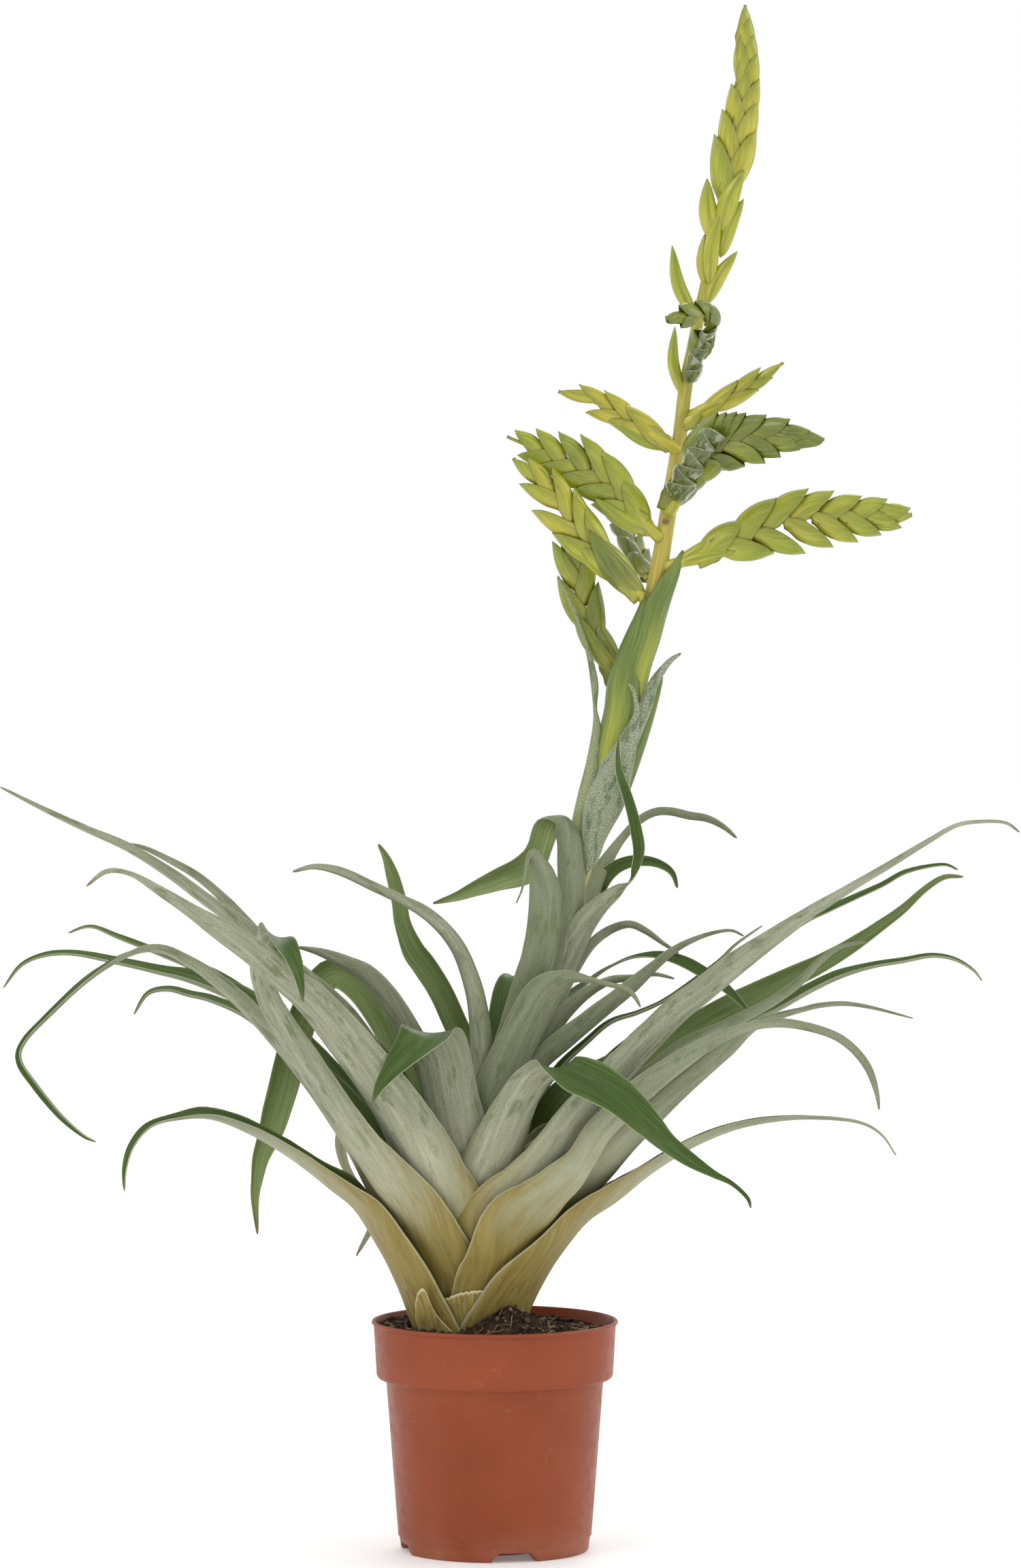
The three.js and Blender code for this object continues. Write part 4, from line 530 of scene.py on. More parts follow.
class Paint:
    """A material under construction. Its methods add nodes and return an output, and lay and blend put a
    colour over the one that it has so far."""

    def __init__(self, name, roughness, **constants):
        self.material = bpy.data.materials.new(name)
        self.material.use_nodes = True
        self.tree = self.material.node_tree
        self.shader = self.tree.nodes["Principled BSDF"]
        self.colour = None
        self.set(self.shader, {"Roughness": roughness, **constants})

    def set(self, node, sockets):
        for key, value in sockets.items():
            if isinstance(value, bpy.types.NodeSocket):
                self.tree.links.new(value, node.inputs[key])
            else:
                node.inputs[key].default_value = value
        return node

    def add(self, kind, sockets, **settings):
        node = self.tree.nodes.new(kind)
        for key, value in settings.items():
            setattr(node, key, value)
        return self.set(node, sockets)

    def traits(self, *names):
        return [self.add("ShaderNodeAttribute", {}, attribute_name=name).outputs["Fac"] for name in names]

    def mapped(self, source, scale):
        place = self.add("ShaderNodeTexCoord", {}).outputs[source]
        return self.add("ShaderNodeMapping", {"Vector": place, "Scale": scale}).outputs["Vector"]

    def height(self):
        place = self.add("ShaderNodeTexCoord", {}).outputs["Object"]
        return self.add("ShaderNodeSeparateXYZ", {"Vector": place}).outputs["Z"]

    def noise(self, place, detail, roughness):
        sockets = {"Vector": place, "Scale": 1, "Detail": detail, "Roughness": roughness}
        return self.add("ShaderNodeTexNoise", sockets).outputs["Fac"]

    def grain(self, across, along, detail=3, roughness=0.55):
        """Noise in a blade's own lie, with its repeats per millimetre across and along it."""
        return self.noise(self.mapped("UV", (across, along, 1)), detail, roughness)

    def clouds(self, per_metre, detail=3, roughness=0.55):
        return self.noise(self.mapped("Object", (per_metre,) * 3), detail, roughness)

    def cells(self, per_metre):
        place = self.mapped("Object", (per_metre,) * 3)
        return self.add("ShaderNodeTexVoronoi", {"Vector": place, "Scale": 1}).outputs["Distance"]

    def span(self, value, low, high, to_low=0.0, to_high=1.0):
        sockets = {"Value": value, "From Min": low, "From Max": high, "To Min": to_low, "To Max": to_high}
        return self.add("ShaderNodeMapRange", sockets, interpolation_type="SMOOTHSTEP").outputs["Result"]

    def math(self, operation, a, b):
        return self.add("ShaderNodeMath", {0: a, 1: b}, operation=operation).outputs["Value"]

    def plus(self, a, b):
        return self.math("ADD", a, b)

    def times(self, a, b):
        return self.math("MULTIPLY", a, b)

    def mix(self, factor, a, b):
        return self.add("ShaderNodeMix", {0: factor, 6: a, 7: b}, data_type="RGBA").outputs[2]

    def ramp(self, value, *colours, stops=None):
        node = self.add("ShaderNodeValToRGB", {"Fac": value})
        elements = node.color_ramp.elements
        if len(colours) == 3:
            elements.new(0.5)
        stops = stops or ((0.3, 0.5, 0.7) if len(colours) == 3 else (0.3, 0.7))
        for element, position, colour in zip(elements, stops, colours):
            element.position = position
            element.color = linear(*colour)
        return node.outputs["Color"]

    def blend(self, factor, colour):
        self.colour = self.mix(factor, self.colour, colour)

    def lay(self, value, low, high, share, *colour):
        """Covers up to a share of the colour with another, more of it as value goes from low to high."""
        self.blend(self.span(value, low, high, 0, share), linear(*colour))

    def finish(self, bump=None, height=0.0002, strength=0.5):
        self.set(self.shader, {"Base Color": self.colour})
        if bump:
            lit = self.add("ShaderNodeBump", {"Height": bump, "Strength": strength, "Distance": height})
            self.set(self.shader, {"Normal": lit.outputs["Normal"]})
        return self.material


def leaf_outside():
    """Grey-green under a fine silvery scurf, rubbed green in patches, and yellow-olive at the sheath."""
    paint = Paint("leaf_outside", 0.6, **{"Specular IOR Level": 0.3})
    edge, along, tone = paint.traits("edge", "along", "tone")
    streaks, patches = paint.grain(0.5, 0.03, 4), paint.grain(0.26, 0.06, 4, 0.65)
    specks, lines = paint.grain(2.2, 1.2, 2, 0.7), paint.grain(3.2, 0.02, 2)
    height = paint.height()
    paint.colour = paint.ramp(streaks, (134, 138, 112), (156, 159, 134), (176, 178, 156))
    greener = paint.ramp(specks, (80, 94, 54), (134, 142, 106), stops=(0.35, 0.65))
    paint.blend(paint.span(patches, 0.52, 0.66, 0, 0.85), greener)
    paint.lay(tone, 0, 1, 0.6, 108, 118, 84)
    # Painted shade: the blade darkens from its middle towards its margins.
    paint.lay(edge, 0.35, 0.95, 0.25, 96, 108, 76)
    paint.lay(specks, 0.52, 0.66, 0.55, 84, 96, 64)
    paint.lay(lines, 0.6, 0.74, 0.2, 84, 102, 66)
    # Painted highlight: a pale cream band across the blades from 150 to 230 mm up, fullest between 172 and
    # 185 mm.
    pale = paint.times(paint.span(height, 0.15, 0.172), paint.span(height, 0.23, 0.185))
    paint.blend(paint.times(pale, 0.4), linear(200, 196, 168))
    # The yellow-olive foot ends in an uneven line, lower at the blade's edges.
    drift = paint.times(paint.plus(paint.plus(specks, patches), patches), 0.03)
    drift = paint.math("SUBTRACT", drift, paint.times(paint.math("POWER", edge, 3), 0.03))
    lowness = paint.times(paint.span(paint.plus(height, drift), 0.242, 0.19), paint.span(along, 0.5, 0.36))
    foot = paint.ramp(streaks, (130, 112, 46), (140, 122, 54), (156, 138, 72), stops=(0.3, 0.5, 0.72))
    paint.blend(paint.times(lowness, 0.92), foot)
    stain = paint.times(paint.span(patches, 0.5, 0.62), paint.span(height, 0.165, 0.118))
    paint.blend(paint.times(stain, 0.5), linear(104, 74, 44))
    paint.lay(edge, 0.95, 0.995, 0.6, 190, 190, 158)
    paint.lay(paint.plus(along, paint.times(patches, 0.05)), 0.985, 1.03, 0.85, 128, 108, 84)
    return paint.finish(paint.plus(lines, paint.times(specks, 0.8)), 0.00025, 0.6)


def leaf_inside():
    """The smooth dark green of a leaf's inner face, with fine lines along it."""
    paint = Paint("leaf_inside", 0.42, **{"Specular IOR Level": 0.25})
    edge, along, tone = paint.traits("edge", "along", "tone")
    streaks, patches, lines = paint.grain(1.4, 0.02, 4), paint.grain(0.12, 0.03), paint.grain(3.6, 0.02, 2)
    paint.colour = paint.ramp(streaks, (44, 66, 20), (62, 86, 30), (86, 108, 48))
    lighter = paint.ramp(streaks, (126, 144, 80), (146, 162, 102), (168, 180, 130))
    paint.blend(paint.span(tone, 0.3, 1, 0, 0.25), lighter)
    # A tone above 1.4 paints the inner face paler; where a leaf's "light" is 1, this is painted light
    # shining through it from behind.
    paint.blend(paint.span(tone, 1.4, 2.2, 0, 0.7), lighter)
    paint.lay(patches, 0.52, 0.7, 0.45, 92, 110, 62)
    paint.lay(edge, 0.9, 0.99, 0.5, 132, 144, 92)
    low = paint.times(paint.span(paint.height(), 0.19, 0.13), paint.span(along, 0.5, 0.36))
    paint.blend(paint.times(low, 0.8), linear(140, 126, 60))
    paint.lay(paint.plus(along, paint.times(patches, 0.05)), 0.985, 1.03, 0.8, 116, 98, 70)
    return paint.finish(lines)


def sheath_skin():
    """The sheaths along the stalk: silvery scurf on the lower ones, green on the upper ones."""
    paint = Paint("sheath_skin", 0.46)
    edge, along, tone = paint.traits("edge", "along", "tone")
    streaks, patches = paint.grain(0.9, 0.03, 4), paint.grain(0.25, 0.06, 4, 0.65)
    specks, lines = paint.grain(2.4, 1.5, 2, 0.7), paint.grain(3, 0.02, 2)
    silver = (82, 98, 62), (136, 144, 114), (182, 184, 164)
    paint.colour = paint.ramp(specks, *silver, stops=(0.36, 0.5, 0.62))
    paint.lay(patches, 0.5, 0.62, 0.7, 72, 96, 50)
    green = paint.ramp(streaks, (76, 98, 38), (96, 116, 46), (118, 134, 58))
    yellow = paint.ramp(streaks, (132, 144, 42), (168, 172, 62))
    middle = paint.times(paint.span(edge, 0.7, 0), paint.span(along, 0.72, 0.25))
    middle = paint.times(middle, paint.span(tone, 1.5, 1.1))
    paint.blend(paint.span(tone, 0.3, 0.8), paint.mix(middle, green, yellow))
    paint.lay(edge, 0.95, 0.995, 0.6, 186, 184, 110)
    paint.lay(along, 0.95, 1, 0.7, 120, 104, 70)
    return paint.finish(paint.plus(lines, paint.times(specks, 0.6)))


def bract_skin():
    """The spikes' glossy bracts: pale and yellow at the foot, green above, with a brown tip."""
    paint = Paint("bract_skin", 0.3, **{"Coat Weight": 0.3, "Coat Roughness": 0.18})
    edge, along, tone = paint.traits("edge", "along", "tone")
    streaks, patches, lines = paint.grain(0.8, 0.05, 4), paint.grain(0.22, 0.1), paint.grain(4.2, 0.05, 2)
    ripe = paint.plus(tone, paint.times(patches, 0.3))
    paint.colour = paint.ramp(streaks, (168, 158, 32), (188, 176, 46), (206, 196, 82))
    green = paint.ramp(streaks, (130, 140, 24), (152, 160, 34), (174, 178, 60))
    olive = paint.ramp(streaks, (74, 88, 18), (98, 108, 26), (122, 130, 44))
    paint.blend(paint.span(ripe, 0.25, 0.75), green)
    paint.blend(paint.span(ripe, 0.8, 1.15), olive)
    paint.lay(along, 0.5, 0.1, 0.4, 182, 172, 70)
    paint.lay(along, 0.55, 0.95, 0.4, 104, 126, 34)
    paint.lay(lines, 0.6, 0.74, 0.25, 92, 106, 30)
    paint.lay(edge, 0.9, 0.99, 0.5, 128, 106, 44)
    # Painted shade: the flanks darken towards the margins that tuck under the neighbouring bracts.
    paint.lay(edge, 0.3, 0.85, 0.35, 96, 108, 26)
    paint.lay(along, 0.95, 0.995, 0.5, 116, 84, 44)
    return paint.finish(lines, 0.00015)


def scale_skin():
    """Dark, wet-looking scales with painted highlights: silvery patches, a pale band and pale sides."""
    paint = Paint("scale_skin", 0.2, **{"Coat Weight": 0.6, "Coat Roughness": 0.1})
    edge, along = paint.traits("edge", "along")
    streaks, patches = paint.grain(0.7, 0.1, 4), paint.grain(0.16, 0.12)
    paint.colour = paint.ramp(streaks, (58, 72, 26), (84, 96, 40), (112, 120, 62))
    # Painted highlights: silvery glints in patches, a pale band just below each scale's rim, and whitish
    # sides.
    paint.lay(patches, 0.53, 0.62, 0.6, 168, 174, 158)
    paint.lay(along, 0.83, 0.89, 0.4, 186, 186, 150)
    paint.lay(edge, 0.5, 0.95, 0.45, 206, 210, 196)
    paint.set(paint.shader, {"Roughness": paint.span(patches, 0.35, 0.65, 0.14, 0.32)})
    return paint.finish(streaks, strength=0.4)


def stalk_skin():
    """Smooth yellow-olive, greener towards the top, brown where a sheath has come off."""
    paint = Paint("stalk_skin", 0.42, **{"Coat Weight": 0.1})
    along, scar = paint.traits("along", "edge")
    paint.colour = paint.ramp(paint.grain(0.9, 0.03, 4), (156, 138, 48), (180, 162, 66), (200, 186, 96))
    paint.lay(along, 0.55, 1, 0.6, 150, 160, 62)
    paint.lay(paint.clouds(55), 0.52, 0.7, 0.5, 132, 134, 54)
    paint.lay(scar, 0.2, 0.9, 0.85, 96, 62, 38)
    return paint.finish(paint.grain(2.6, 0.02, 2))


def dry_skin():
    """The dried, papery remains of old sheaths round the foot."""
    paint = Paint("dry_skin", 0.7)
    streaks = paint.grain(1.2, 0.05, 4)
    straw = (128, 108, 48), (158, 140, 72), (186, 172, 112)
    paint.colour = paint.ramp(streaks, *straw, stops=(0.3, 0.5, 0.72))
    paint.lay(paint.grain(0.2, 0.1), 0.52, 0.68, 0.5, 104, 76, 44)
    paint.lay(*paint.traits("edge"), 0.88, 0.98, 0.75, 214, 202, 164)
    return paint.finish(streaks, 0.0004, 0.6)


def soil_grit():
    """Dark peat with pale grains."""
    paint = Paint("soil_grit", 0.93, **{"Specular IOR Level": 0.15})
    lumps = paint.clouds(210, 6, 0.65)
    paint.colour = paint.ramp(lumps, (20, 14, 10), (46, 33, 24), (82, 62, 44), stops=(0.32, 0.5, 0.66))
    paint.lay(paint.clouds(1500, 3, 0.7), 0.62, 0.72, 0.6, 138, 112, 82)
    heights = paint.plus(paint.times(lumps, 1.4), paint.math("SUBTRACT", 0.8, paint.cells(620)))
    return paint.finish(heights, 0.0016, 0.9)


def crumb_bark():
    """Bits of bark, a few of them pale."""
    paint = Paint("crumb_bark", 0.9)
    lumps = paint.clouds(700, 4, 0.65)
    paint.colour = paint.ramp(lumps, (22, 15, 11), (70, 50, 34))
    pale = paint.ramp(lumps, (84, 60, 40), (150, 122, 88))
    paint.blend(paint.span(*paint.traits("tone"), 0.72, 0.9), pale)
    return paint.finish(lumps, 0.0006, 0.8)


def fibre_skin():
    paint = Paint("fibre_skin", 0.8)
    streaks = paint.clouds(900)
    paint.colour = paint.ramp(streaks, (104, 76, 48), (176, 146, 104))
    return paint.finish(streaks)


def pot_plastic():
    """Satin plastic with faint scuffs and a little dust at the foot."""
    paint = Paint("pot_plastic", 0.45, **{"Specular IOR Level": 0.15})
    clouds, scuffs = paint.clouds(22, 4), paint.clouds(140, 5, 0.7)
    paint.colour = paint.ramp(clouds, (136, 66, 42), (149, 75, 48))
    paint.lay(scuffs, 0.6, 0.74, 0.25, 178, 118, 92)
    dust = paint.times(paint.span(paint.height(), 0.02, 0.0), paint.span(clouds, 0.3, 0.7))
    paint.blend(paint.times(dust, 0.35), linear(168, 128, 104))
    paint.set(paint.shader, {"Roughness": paint.span(scuffs, 0.35, 0.7, 0.34, 0.5)})
    return paint.finish(paint.clouds(1400, 2), 0.00008, 0.35)


def floor_card():
    """A white card that shines faintly, so that it has no horizon."""
    paint = Paint("floor_card", 0.6, **{"Emission Color": (1, 1, 1, 1), "Emission Strength": 0.14})
    paint.colour = paint.ramp(paint.clouds(3, 2), (240, 240, 239), (244, 244, 243))
    return paint.finish()


LEAF_OUTSIDE, LEAF_INSIDE = leaf_outside(), leaf_inside()
SHEATH_SKIN, BRACT_SKIN, SCALE_SKIN, STALK_SKIN, DRY_SKIN = (
    sheath_skin(), bract_skin(), scale_skin(), stalk_skin(), dry_skin())

# ---- Routes ----

MARKS = 200  # steps in which a line's length is measured


def mix(a, b, t):
    return a + (b - a) * t


def smooth(low, high, value):
    t = min(max((value - low) / (high - low), 0), 1)
    return t * t * (3 - 2 * t)


def placed(station):
    """The point that a station names: it slides along the line of sight from EYE to its depth."""
    x, depth, z = station[:3]
    return EYE.lerp(Vector((x, 0, z)), 1 - depth / EYE.y)


def round_about(turn, radius, z):
    """A point on a circle round an upright line."""
    return Vector((radius * math.cos(turn), radius * math.sin(turn), z))


def profile_radius(profile, height):
    """A profile's radius at a height, read from its (radius, height) corners."""
    above = next((i for i, (_, z) in enumerate(profile) if z > height), len(profile) - 1)
    (r0, z0), (r1, z1) = profile[max(above, 1) - 1], profile[max(above, 1)]
    return mix(r0, r1, (height - z0) / (z1 - z0))


class Line:
    """A smooth curve through points."""

    def __init__(self, points):
        points = [Vector(p) for p in points]
        self.spans = len(points) - 1
        self.points = [points[0] * 2 - points[1], *points, points[-1] * 2 - points[-2]]
        self.marks = None  # lengths along the curve at MARKS even steps of its parameter

    def at(self, t):
        place = min(max(t, 0), 1) * self.spans
        i = min(int(place), self.spans - 1)
        f = place - i
        before, start, end, after = self.points[i : i + 4]
        leave, arrive = (end - before) / 2, (after - start) / 2
        return (
            start + leave * f + (end * 3 - start * 3 - leave * 2 - arrive) * f**2
            + (start * 2 - end * 2 + leave + arrive) * f**3
        )

    def tangent(self, t):
        return (self.at(min(t + 1e-4, 1)) - self.at(max(t - 1e-4, 0))).normalized()

    def measure(self):
        if self.marks is None:
            self.marks, last = [0.0], self.at(0)
            for i in range(1, MARKS + 1):
                point = self.at(i / MARKS)
                self.marks.append(self.marks[-1] + (point - last).length)
                last = point
        return self.marks[-1]

    def at_length(self, length):
        """The curve's parameter at a length along it."""
        self.measure()
        i = next((k for k, mark in enumerate(self.marks) if mark > length), MARKS)
        low, high = self.marks[i - 1], self.marks[i]
        return (i - 1 + min(max((length - low) / (high - low), 0), 1)) / MARKS


# ---- Mesh helpers ----

TRAITS = ("edge", "along", "tone")  # what the materials read at each point


def grid(mesh, columns, rows, place):
    """A sheet in mesh. place(s, t) gives (point, traits) for s from -1 to 1 across and t from 0 to 1 along
    it. The traits are edge, along, tone, the share of the thickness, and the UV's two values."""
    layers = [mesh.verts.layers.float.get(key) or mesh.verts.layers.float.new(key) for key in TRAITS]
    weights = mesh.verts.layers.deform.verify()
    uv = mesh.loops.layers.uv.verify()
    made = bmesh.ops.create_grid(mesh, x_segments=columns, y_segments=rows, size=1)["verts"]
    spots = {}
    for vert in made:
        vert.co, (*values, weight, u, v) = place(vert.co.x, (vert.co.y + 1) / 2)
        for layer, value in zip(layers, values):
            vert[layer] = value
        vert[weights][0] = weight
        spots[vert] = (u, v)
    for face in {face for vert in made for face in vert.link_faces}:
        for loop in face.loops:
            loop[uv].uv = spots[loop.vert]
    return made


def seal(mesh, distance):
    """Joins the points that lie together, and turns the faces outward."""
    bmesh.ops.remove_doubles(mesh, verts=mesh.verts[:], dist=distance)
    bmesh.ops.recalc_face_normals(mesh, faces=mesh.faces[:])


def cast(name, mesh):
    """The mesh as data that an object can have."""
    data = bpy.data.meshes.new(name)
    mesh.to_mesh(data)
    mesh.free()
    return data


def piece(name, mesh, materials, nodes, thickness=0, thin=0.3, inside=0, closed=False):
    """Finishes a mesh in millimetres as a piece. A sheet gets a wall of the thickness, at its rims down to
    the share thin of it, and "inside" counts on from the outer face's material to the inner face's."""
    if closed:
        seal(mesh, 0.01)
    bmesh.ops.scale(mesh, vec=(MM, MM, MM), verts=mesh.verts[:])
    data = cast(name, mesh)
    data.shade_smooth()
    for material in materials:
        data.materials.append(material)
    made = shown(name, data)
    if thickness:
        made.vertex_groups.new(name="thickness")
        wall = made.modifiers.new("wall", "SOLIDIFY")
        wall.thickness = thickness * MM
        wall.offset = 0
        wall.vertex_group = "thickness"
        wall.thickness_vertex_group = thin
        wall.material_offset = inside
    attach(made, "root")
    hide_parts(*nodes)
    return made


# ---- Blades ----


def sheath_points(first, swell):
    """The stations that carry a leaf's sheath down the funnel from its first free station to its foot."""
    x, y = first.x - ROSETTE.x, first.y
    share = math.hypot(x, y) / profile_radius(FUNNEL, first.z)
    azimuth = math.atan2(y, x)

    def is_clear(z):
        return share * swell * profile_radius(FUNNEL, z) >= profile_radius(CORE, z) + FOOT_CLEARANCE

    foot = CORE_SHOULDER + 1
    while not is_clear(foot) and foot < first.z - SHORTEST_SHEATH:
        foot += 1
    points = []
    for t in (0, 1 / 3, 2 / 3):
        z = mix(foot, first.z, t)
        radius = share * profile_radius(FUNNEL, z) * mix(swell, 1, t)
        points.append(ROSETTE + round_about(azimuth, radius, z))
    return points


def blade_samples(blade):
    """The blade's cross-sections from foot to tip. "left" is how far it has left the rosette's funnel."""
    free = [placed(station) for station in blade["stations"]]
    base = sheath_points(free[0], blade.get("swell", 1)) if "sheath" in blade else []
    rolls = []
    for station in blade["stations"]:
        rolls.append(station[4] if len(station) > 4 else (rolls[-1] if rolls else 0))
    widths = [blade.get("sheath")] * len(base) + [station[3] for station in blade["stations"]]
    route = Line(base + free)
    traits = Line([(width, roll, 0) for width, roll in zip(widths, [0] * len(base) + rolls)])
    count = route.spans * STEPS
    samples, normal, left, run, last = [], None, 0 if base else 1, 0, None
    for i in range(count + 1):
        t = i / count
        point, tangent = route.at(t), route.tangent(t)
        width, roll, _ = traits.at(t)
        outward = Vector((point.x - ROSETTE.x, point.y, 0)).normalized()
        if normal is None:
            normal = Vector(blade["facing"]) if "facing" in blade else outward
        normal = (normal - tangent * normal.dot(tangent)).normalized()
        left = max(left, smooth(SHEATH_FROM, SHEATH_TO, point.z))
        run += (point - last).length if last else 0
        last = point
        samples.append({
            "point": point, "tangent": tangent, "outward": outward,
            "normal": Matrix.Rotation(math.radians(roll * left), 3, tangent) @ normal,
            "width": max(width, NARROWEST) * (1 - 0.6 * smooth(0.985, 1, t)),
            "left": left, "along": t, "run": run,
        })
    return samples


def blade_point(sample, across, channel):
    """A point of a section: an arc round the rosette's line in the funnel, and a channel outside it."""
    point, left, width = sample["point"], sample["left"], sample["width"]
    up = sample["outward"].lerp(sample["normal"], left).normalized()
    sideways = sample["tangent"].cross(up).normalized()
    wall = max(math.hypot(point.x - ROSETTE.x, point.y), TIGHTEST)
    cup = math.radians(channel)
    bend = mix(width / 2 / wall, cup, left)
    curve = mix(wall, width / 2 / math.sin(cup), left)
    centre = mix(1, math.sin(bend) / bend, left)
    angle = across * bend
    return point + sideways * curve * math.sin(angle) + up * curve * (math.cos(angle) - centre)


def blade_piece(name, blade, materials, node):
    samples = blade_samples(blade)
    draw = random.Random(name)
    # Painted light: "light" adds 2 to the tone, which paints the inner face paler, as if lit through from
    # behind.
    tone = blade.get("tone", draw.random()) + 2 * blade.get("light", 0)
    phase = draw.random() * 100
    rows = len(samples) - 1
    channel = blade.get("channel", CHANNEL)

    def place(s, t):
        sample = samples[round(t * rows)]
        ripple = 1 + 0.035 * sample["left"] * noise.noise(Vector((sample["run"] / 9, phase, s)))
        point = blade_point(sample, s * ripple, channel)
        weight = mix(1, TIP_THICKNESS / LEAF_THICKNESS, sample["along"]) * (1 - 0.75 * abs(s) ** 5)
        across = s * sample["width"] / 2
        return point, (abs(s), sample["along"], tone, weight, across + phase * 7, sample["run"])

    mesh = bmesh.new()
    grid(mesh, COLUMNS, rows, place)
    return piece(name, mesh, materials, [node], LEAF_THICKNESS, 0.15, len(materials) - 1)


for key, blade in LEAVES.items():
    blade_piece("blade_" + key, blade, [LEAF_OUTSIDE, LEAF_INSIDE], "leaf_" + key)
for key, blade in STALK_SHEATHS.items():
    blade_piece("sheath_" + key, blade, [SHEATH_SKIN], "bract_" + key)

# ---- Stem ----

# Faces across and along.
STALK_GRID = (28, 150)
BRACT_GRID = (16, 14)
STUB_GRID = (44, 18)


def tube(mesh, line, radius, sides, rows, tone=0.5, scar=None):
    """A round limb along a line, closed at both ends. radius(t) is in millimetres."""
    length = line.measure()

    def place(s, t):
        step = min(max((t * (rows + 2) - 1) / rows, 0), 1)
        tangent = line.tangent(step)
        side = Vector((1, 0, 0)) - tangent * tangent.x
        side = side.normalized() if side.length > 0.2 else tangent.orthogonal().normalized()
        other = tangent.cross(side)
        size = 0 if t in (0, 1) else radius(step)
        angle = math.pi * s
        point = line.at(step) + (side * math.sin(angle) - other * math.cos(angle)) * size
        return point, (scar(point) if scar else 0, step, tone, 1, angle * radius(step), step * length)

    return grid(mesh, sides, rows + 2, place)


def keeled_bract(mesh, start, end, width, depth, tone, phase, bulge=0.16):
    """One closed, pointed bract that bulges away from the line from its foot to its tip."""
    side = (end - start).cross(Vector((0, 1, 0))).normalized()
    size = (end - start).length
    middle = start.lerp(end, 0.5) + side * size * bulge
    line = Line([start, start.lerp(middle, 0.5).lerp(middle.lerp(end, 0.5), 0.5), end])

    def place(s, t):
        tangent = line.tangent(t)
        keel = (side - tangent * side.dot(tangent)).normalized()
        flank = keel.cross(tangent)
        girth = max(math.sin(math.pi * min(t, 1) ** 0.8), 0) ** 0.75
        angle = math.pi * s
        out = keel * math.cos(angle) * girth * width / 2
        beside = flank * math.sin(angle) * girth * depth / 2
        rim = 0.96 if abs(abs(s) - 0.5) < 0.04 and t < 0.9 else 0.2
        return line.at(t) + out + beside, (rim, t, tone, 1, s * width + phase, t * size)

    return grid(mesh, *BRACT_GRID, place)


stalk_line = Line([placed(station) for station in STALK_LINE])
girth_line = Line([(station[3], 0, 0) for station in STALK_LINE])
SCAR = placed((83.5, -4.3, 505))
SCAR_CORE, SCAR_RIM = 1.2, 2.6


def stalk_radius(t):
    return girth_line.at(t).x * (1 + 0.03 * math.sin(t * 70))


def scar_mark(point):
    return 1 - smooth(SCAR_CORE, SCAR_RIM, (point - SCAR).length)


mesh = bmesh.new()
tube(mesh, stalk_line, stalk_radius, *STALK_GRID, scar=scar_mark)
piece("stalk", mesh, [STALK_SKIN], ["stem"], closed=True)

mesh = bmesh.new()
for number, (foot, tip, width) in enumerate(BUDS):
    keeled_bract(mesh, placed(foot), placed(tip), width, 5, 0.5, number * 31)
piece("stalk_buds", mesh, [BRACT_SKIN], ["stem"], closed=True)


def spin(mesh, profile, steps, around=Vector((0, 0, 0))):
    """A closed body of revolution from a profile of (radius, height)."""
    corners = [mesh.verts.new((radius + around.x, around.y, height)) for radius, height in profile]
    edges = [mesh.edges.new(pair) for pair in zip(corners, corners[1:])]
    bmesh.ops.spin(mesh, geom=corners + edges, cent=around, axis=(0, 0, 1), angle=2 * math.pi, steps=steps,
                   use_merge=True)
    seal(mesh, 0.001)


mesh = bmesh.new()
spin(mesh, CORE, 48, ROSETTE)
piece("trunk", mesh, [DRY_SKIN], ["stem"])


def stub_sheet(mesh, number, stub):
    """What is left of an old sheath: it flares from the trunk, and its upper edge is frayed."""
    crest = Line([(azimuth, height, 0) for azimuth, height in stub["edge"]])

    def place(s, t):
        across = (s + 1) / 2
        azimuth, top, _ = crest.at(across)
        top += 0.7 * noise.noise(Vector((azimuth / 2.3, number * 9, 0)))
        azimuth += stub["lean"] * (1 - t) * across
        height = mix(STUB_FOOT, top, t)
        radius = stub["share"] * profile_radius(FUNNEL, mix(STUB_FOOT, top, max(t, 1 / 3)))
        if t < 1 / 3:
            radius = mix(STUB_WAIST, radius, t * 3)
        point = ROSETTE + round_about(math.radians(azimuth), radius, height)
        return point, (max(t, abs(s)) ** 2, t, 0.5, 1 - 0.7 * t**4, azimuth / 2 + number * 50, height)

    grid(mesh, *STUB_GRID, place)


mesh = bmesh.new()
for number, stub in enumerate(STUBS):
    stub_sheet(mesh, number, stub)
piece("old_sheath_stubs", mesh, [DRY_SKIN], ["stem"], LEAF_THICKNESS, 0.3)

# ---- Spikes ----

SIGHT = Vector((0, 1, 0))
SCALE_CLASP = 82  # half of how far a scale reaches round its line, in degrees
SCALE_LIFT = 2.5  # how far a scale stands before the bracts
BRACT_THICKNESS = 0.5
PEDUNCLE_GRID = (14, 40)


def spike_frame(spike, line, t):
    """A place on a spike's axis, and the directions along it, of its rows and of its flat sides."""
    tangent = line.tangent(t)
    across = tangent.cross(SIGHT).normalized()
    start, end = spike.get("turn", (0, 0))
    turn = math.radians(mix(start, end, smooth(0, 1, t)))
    across = Matrix.Rotation(turn, 3, tangent) @ across
    return line.at(t), tangent, across, across.cross(tangent)


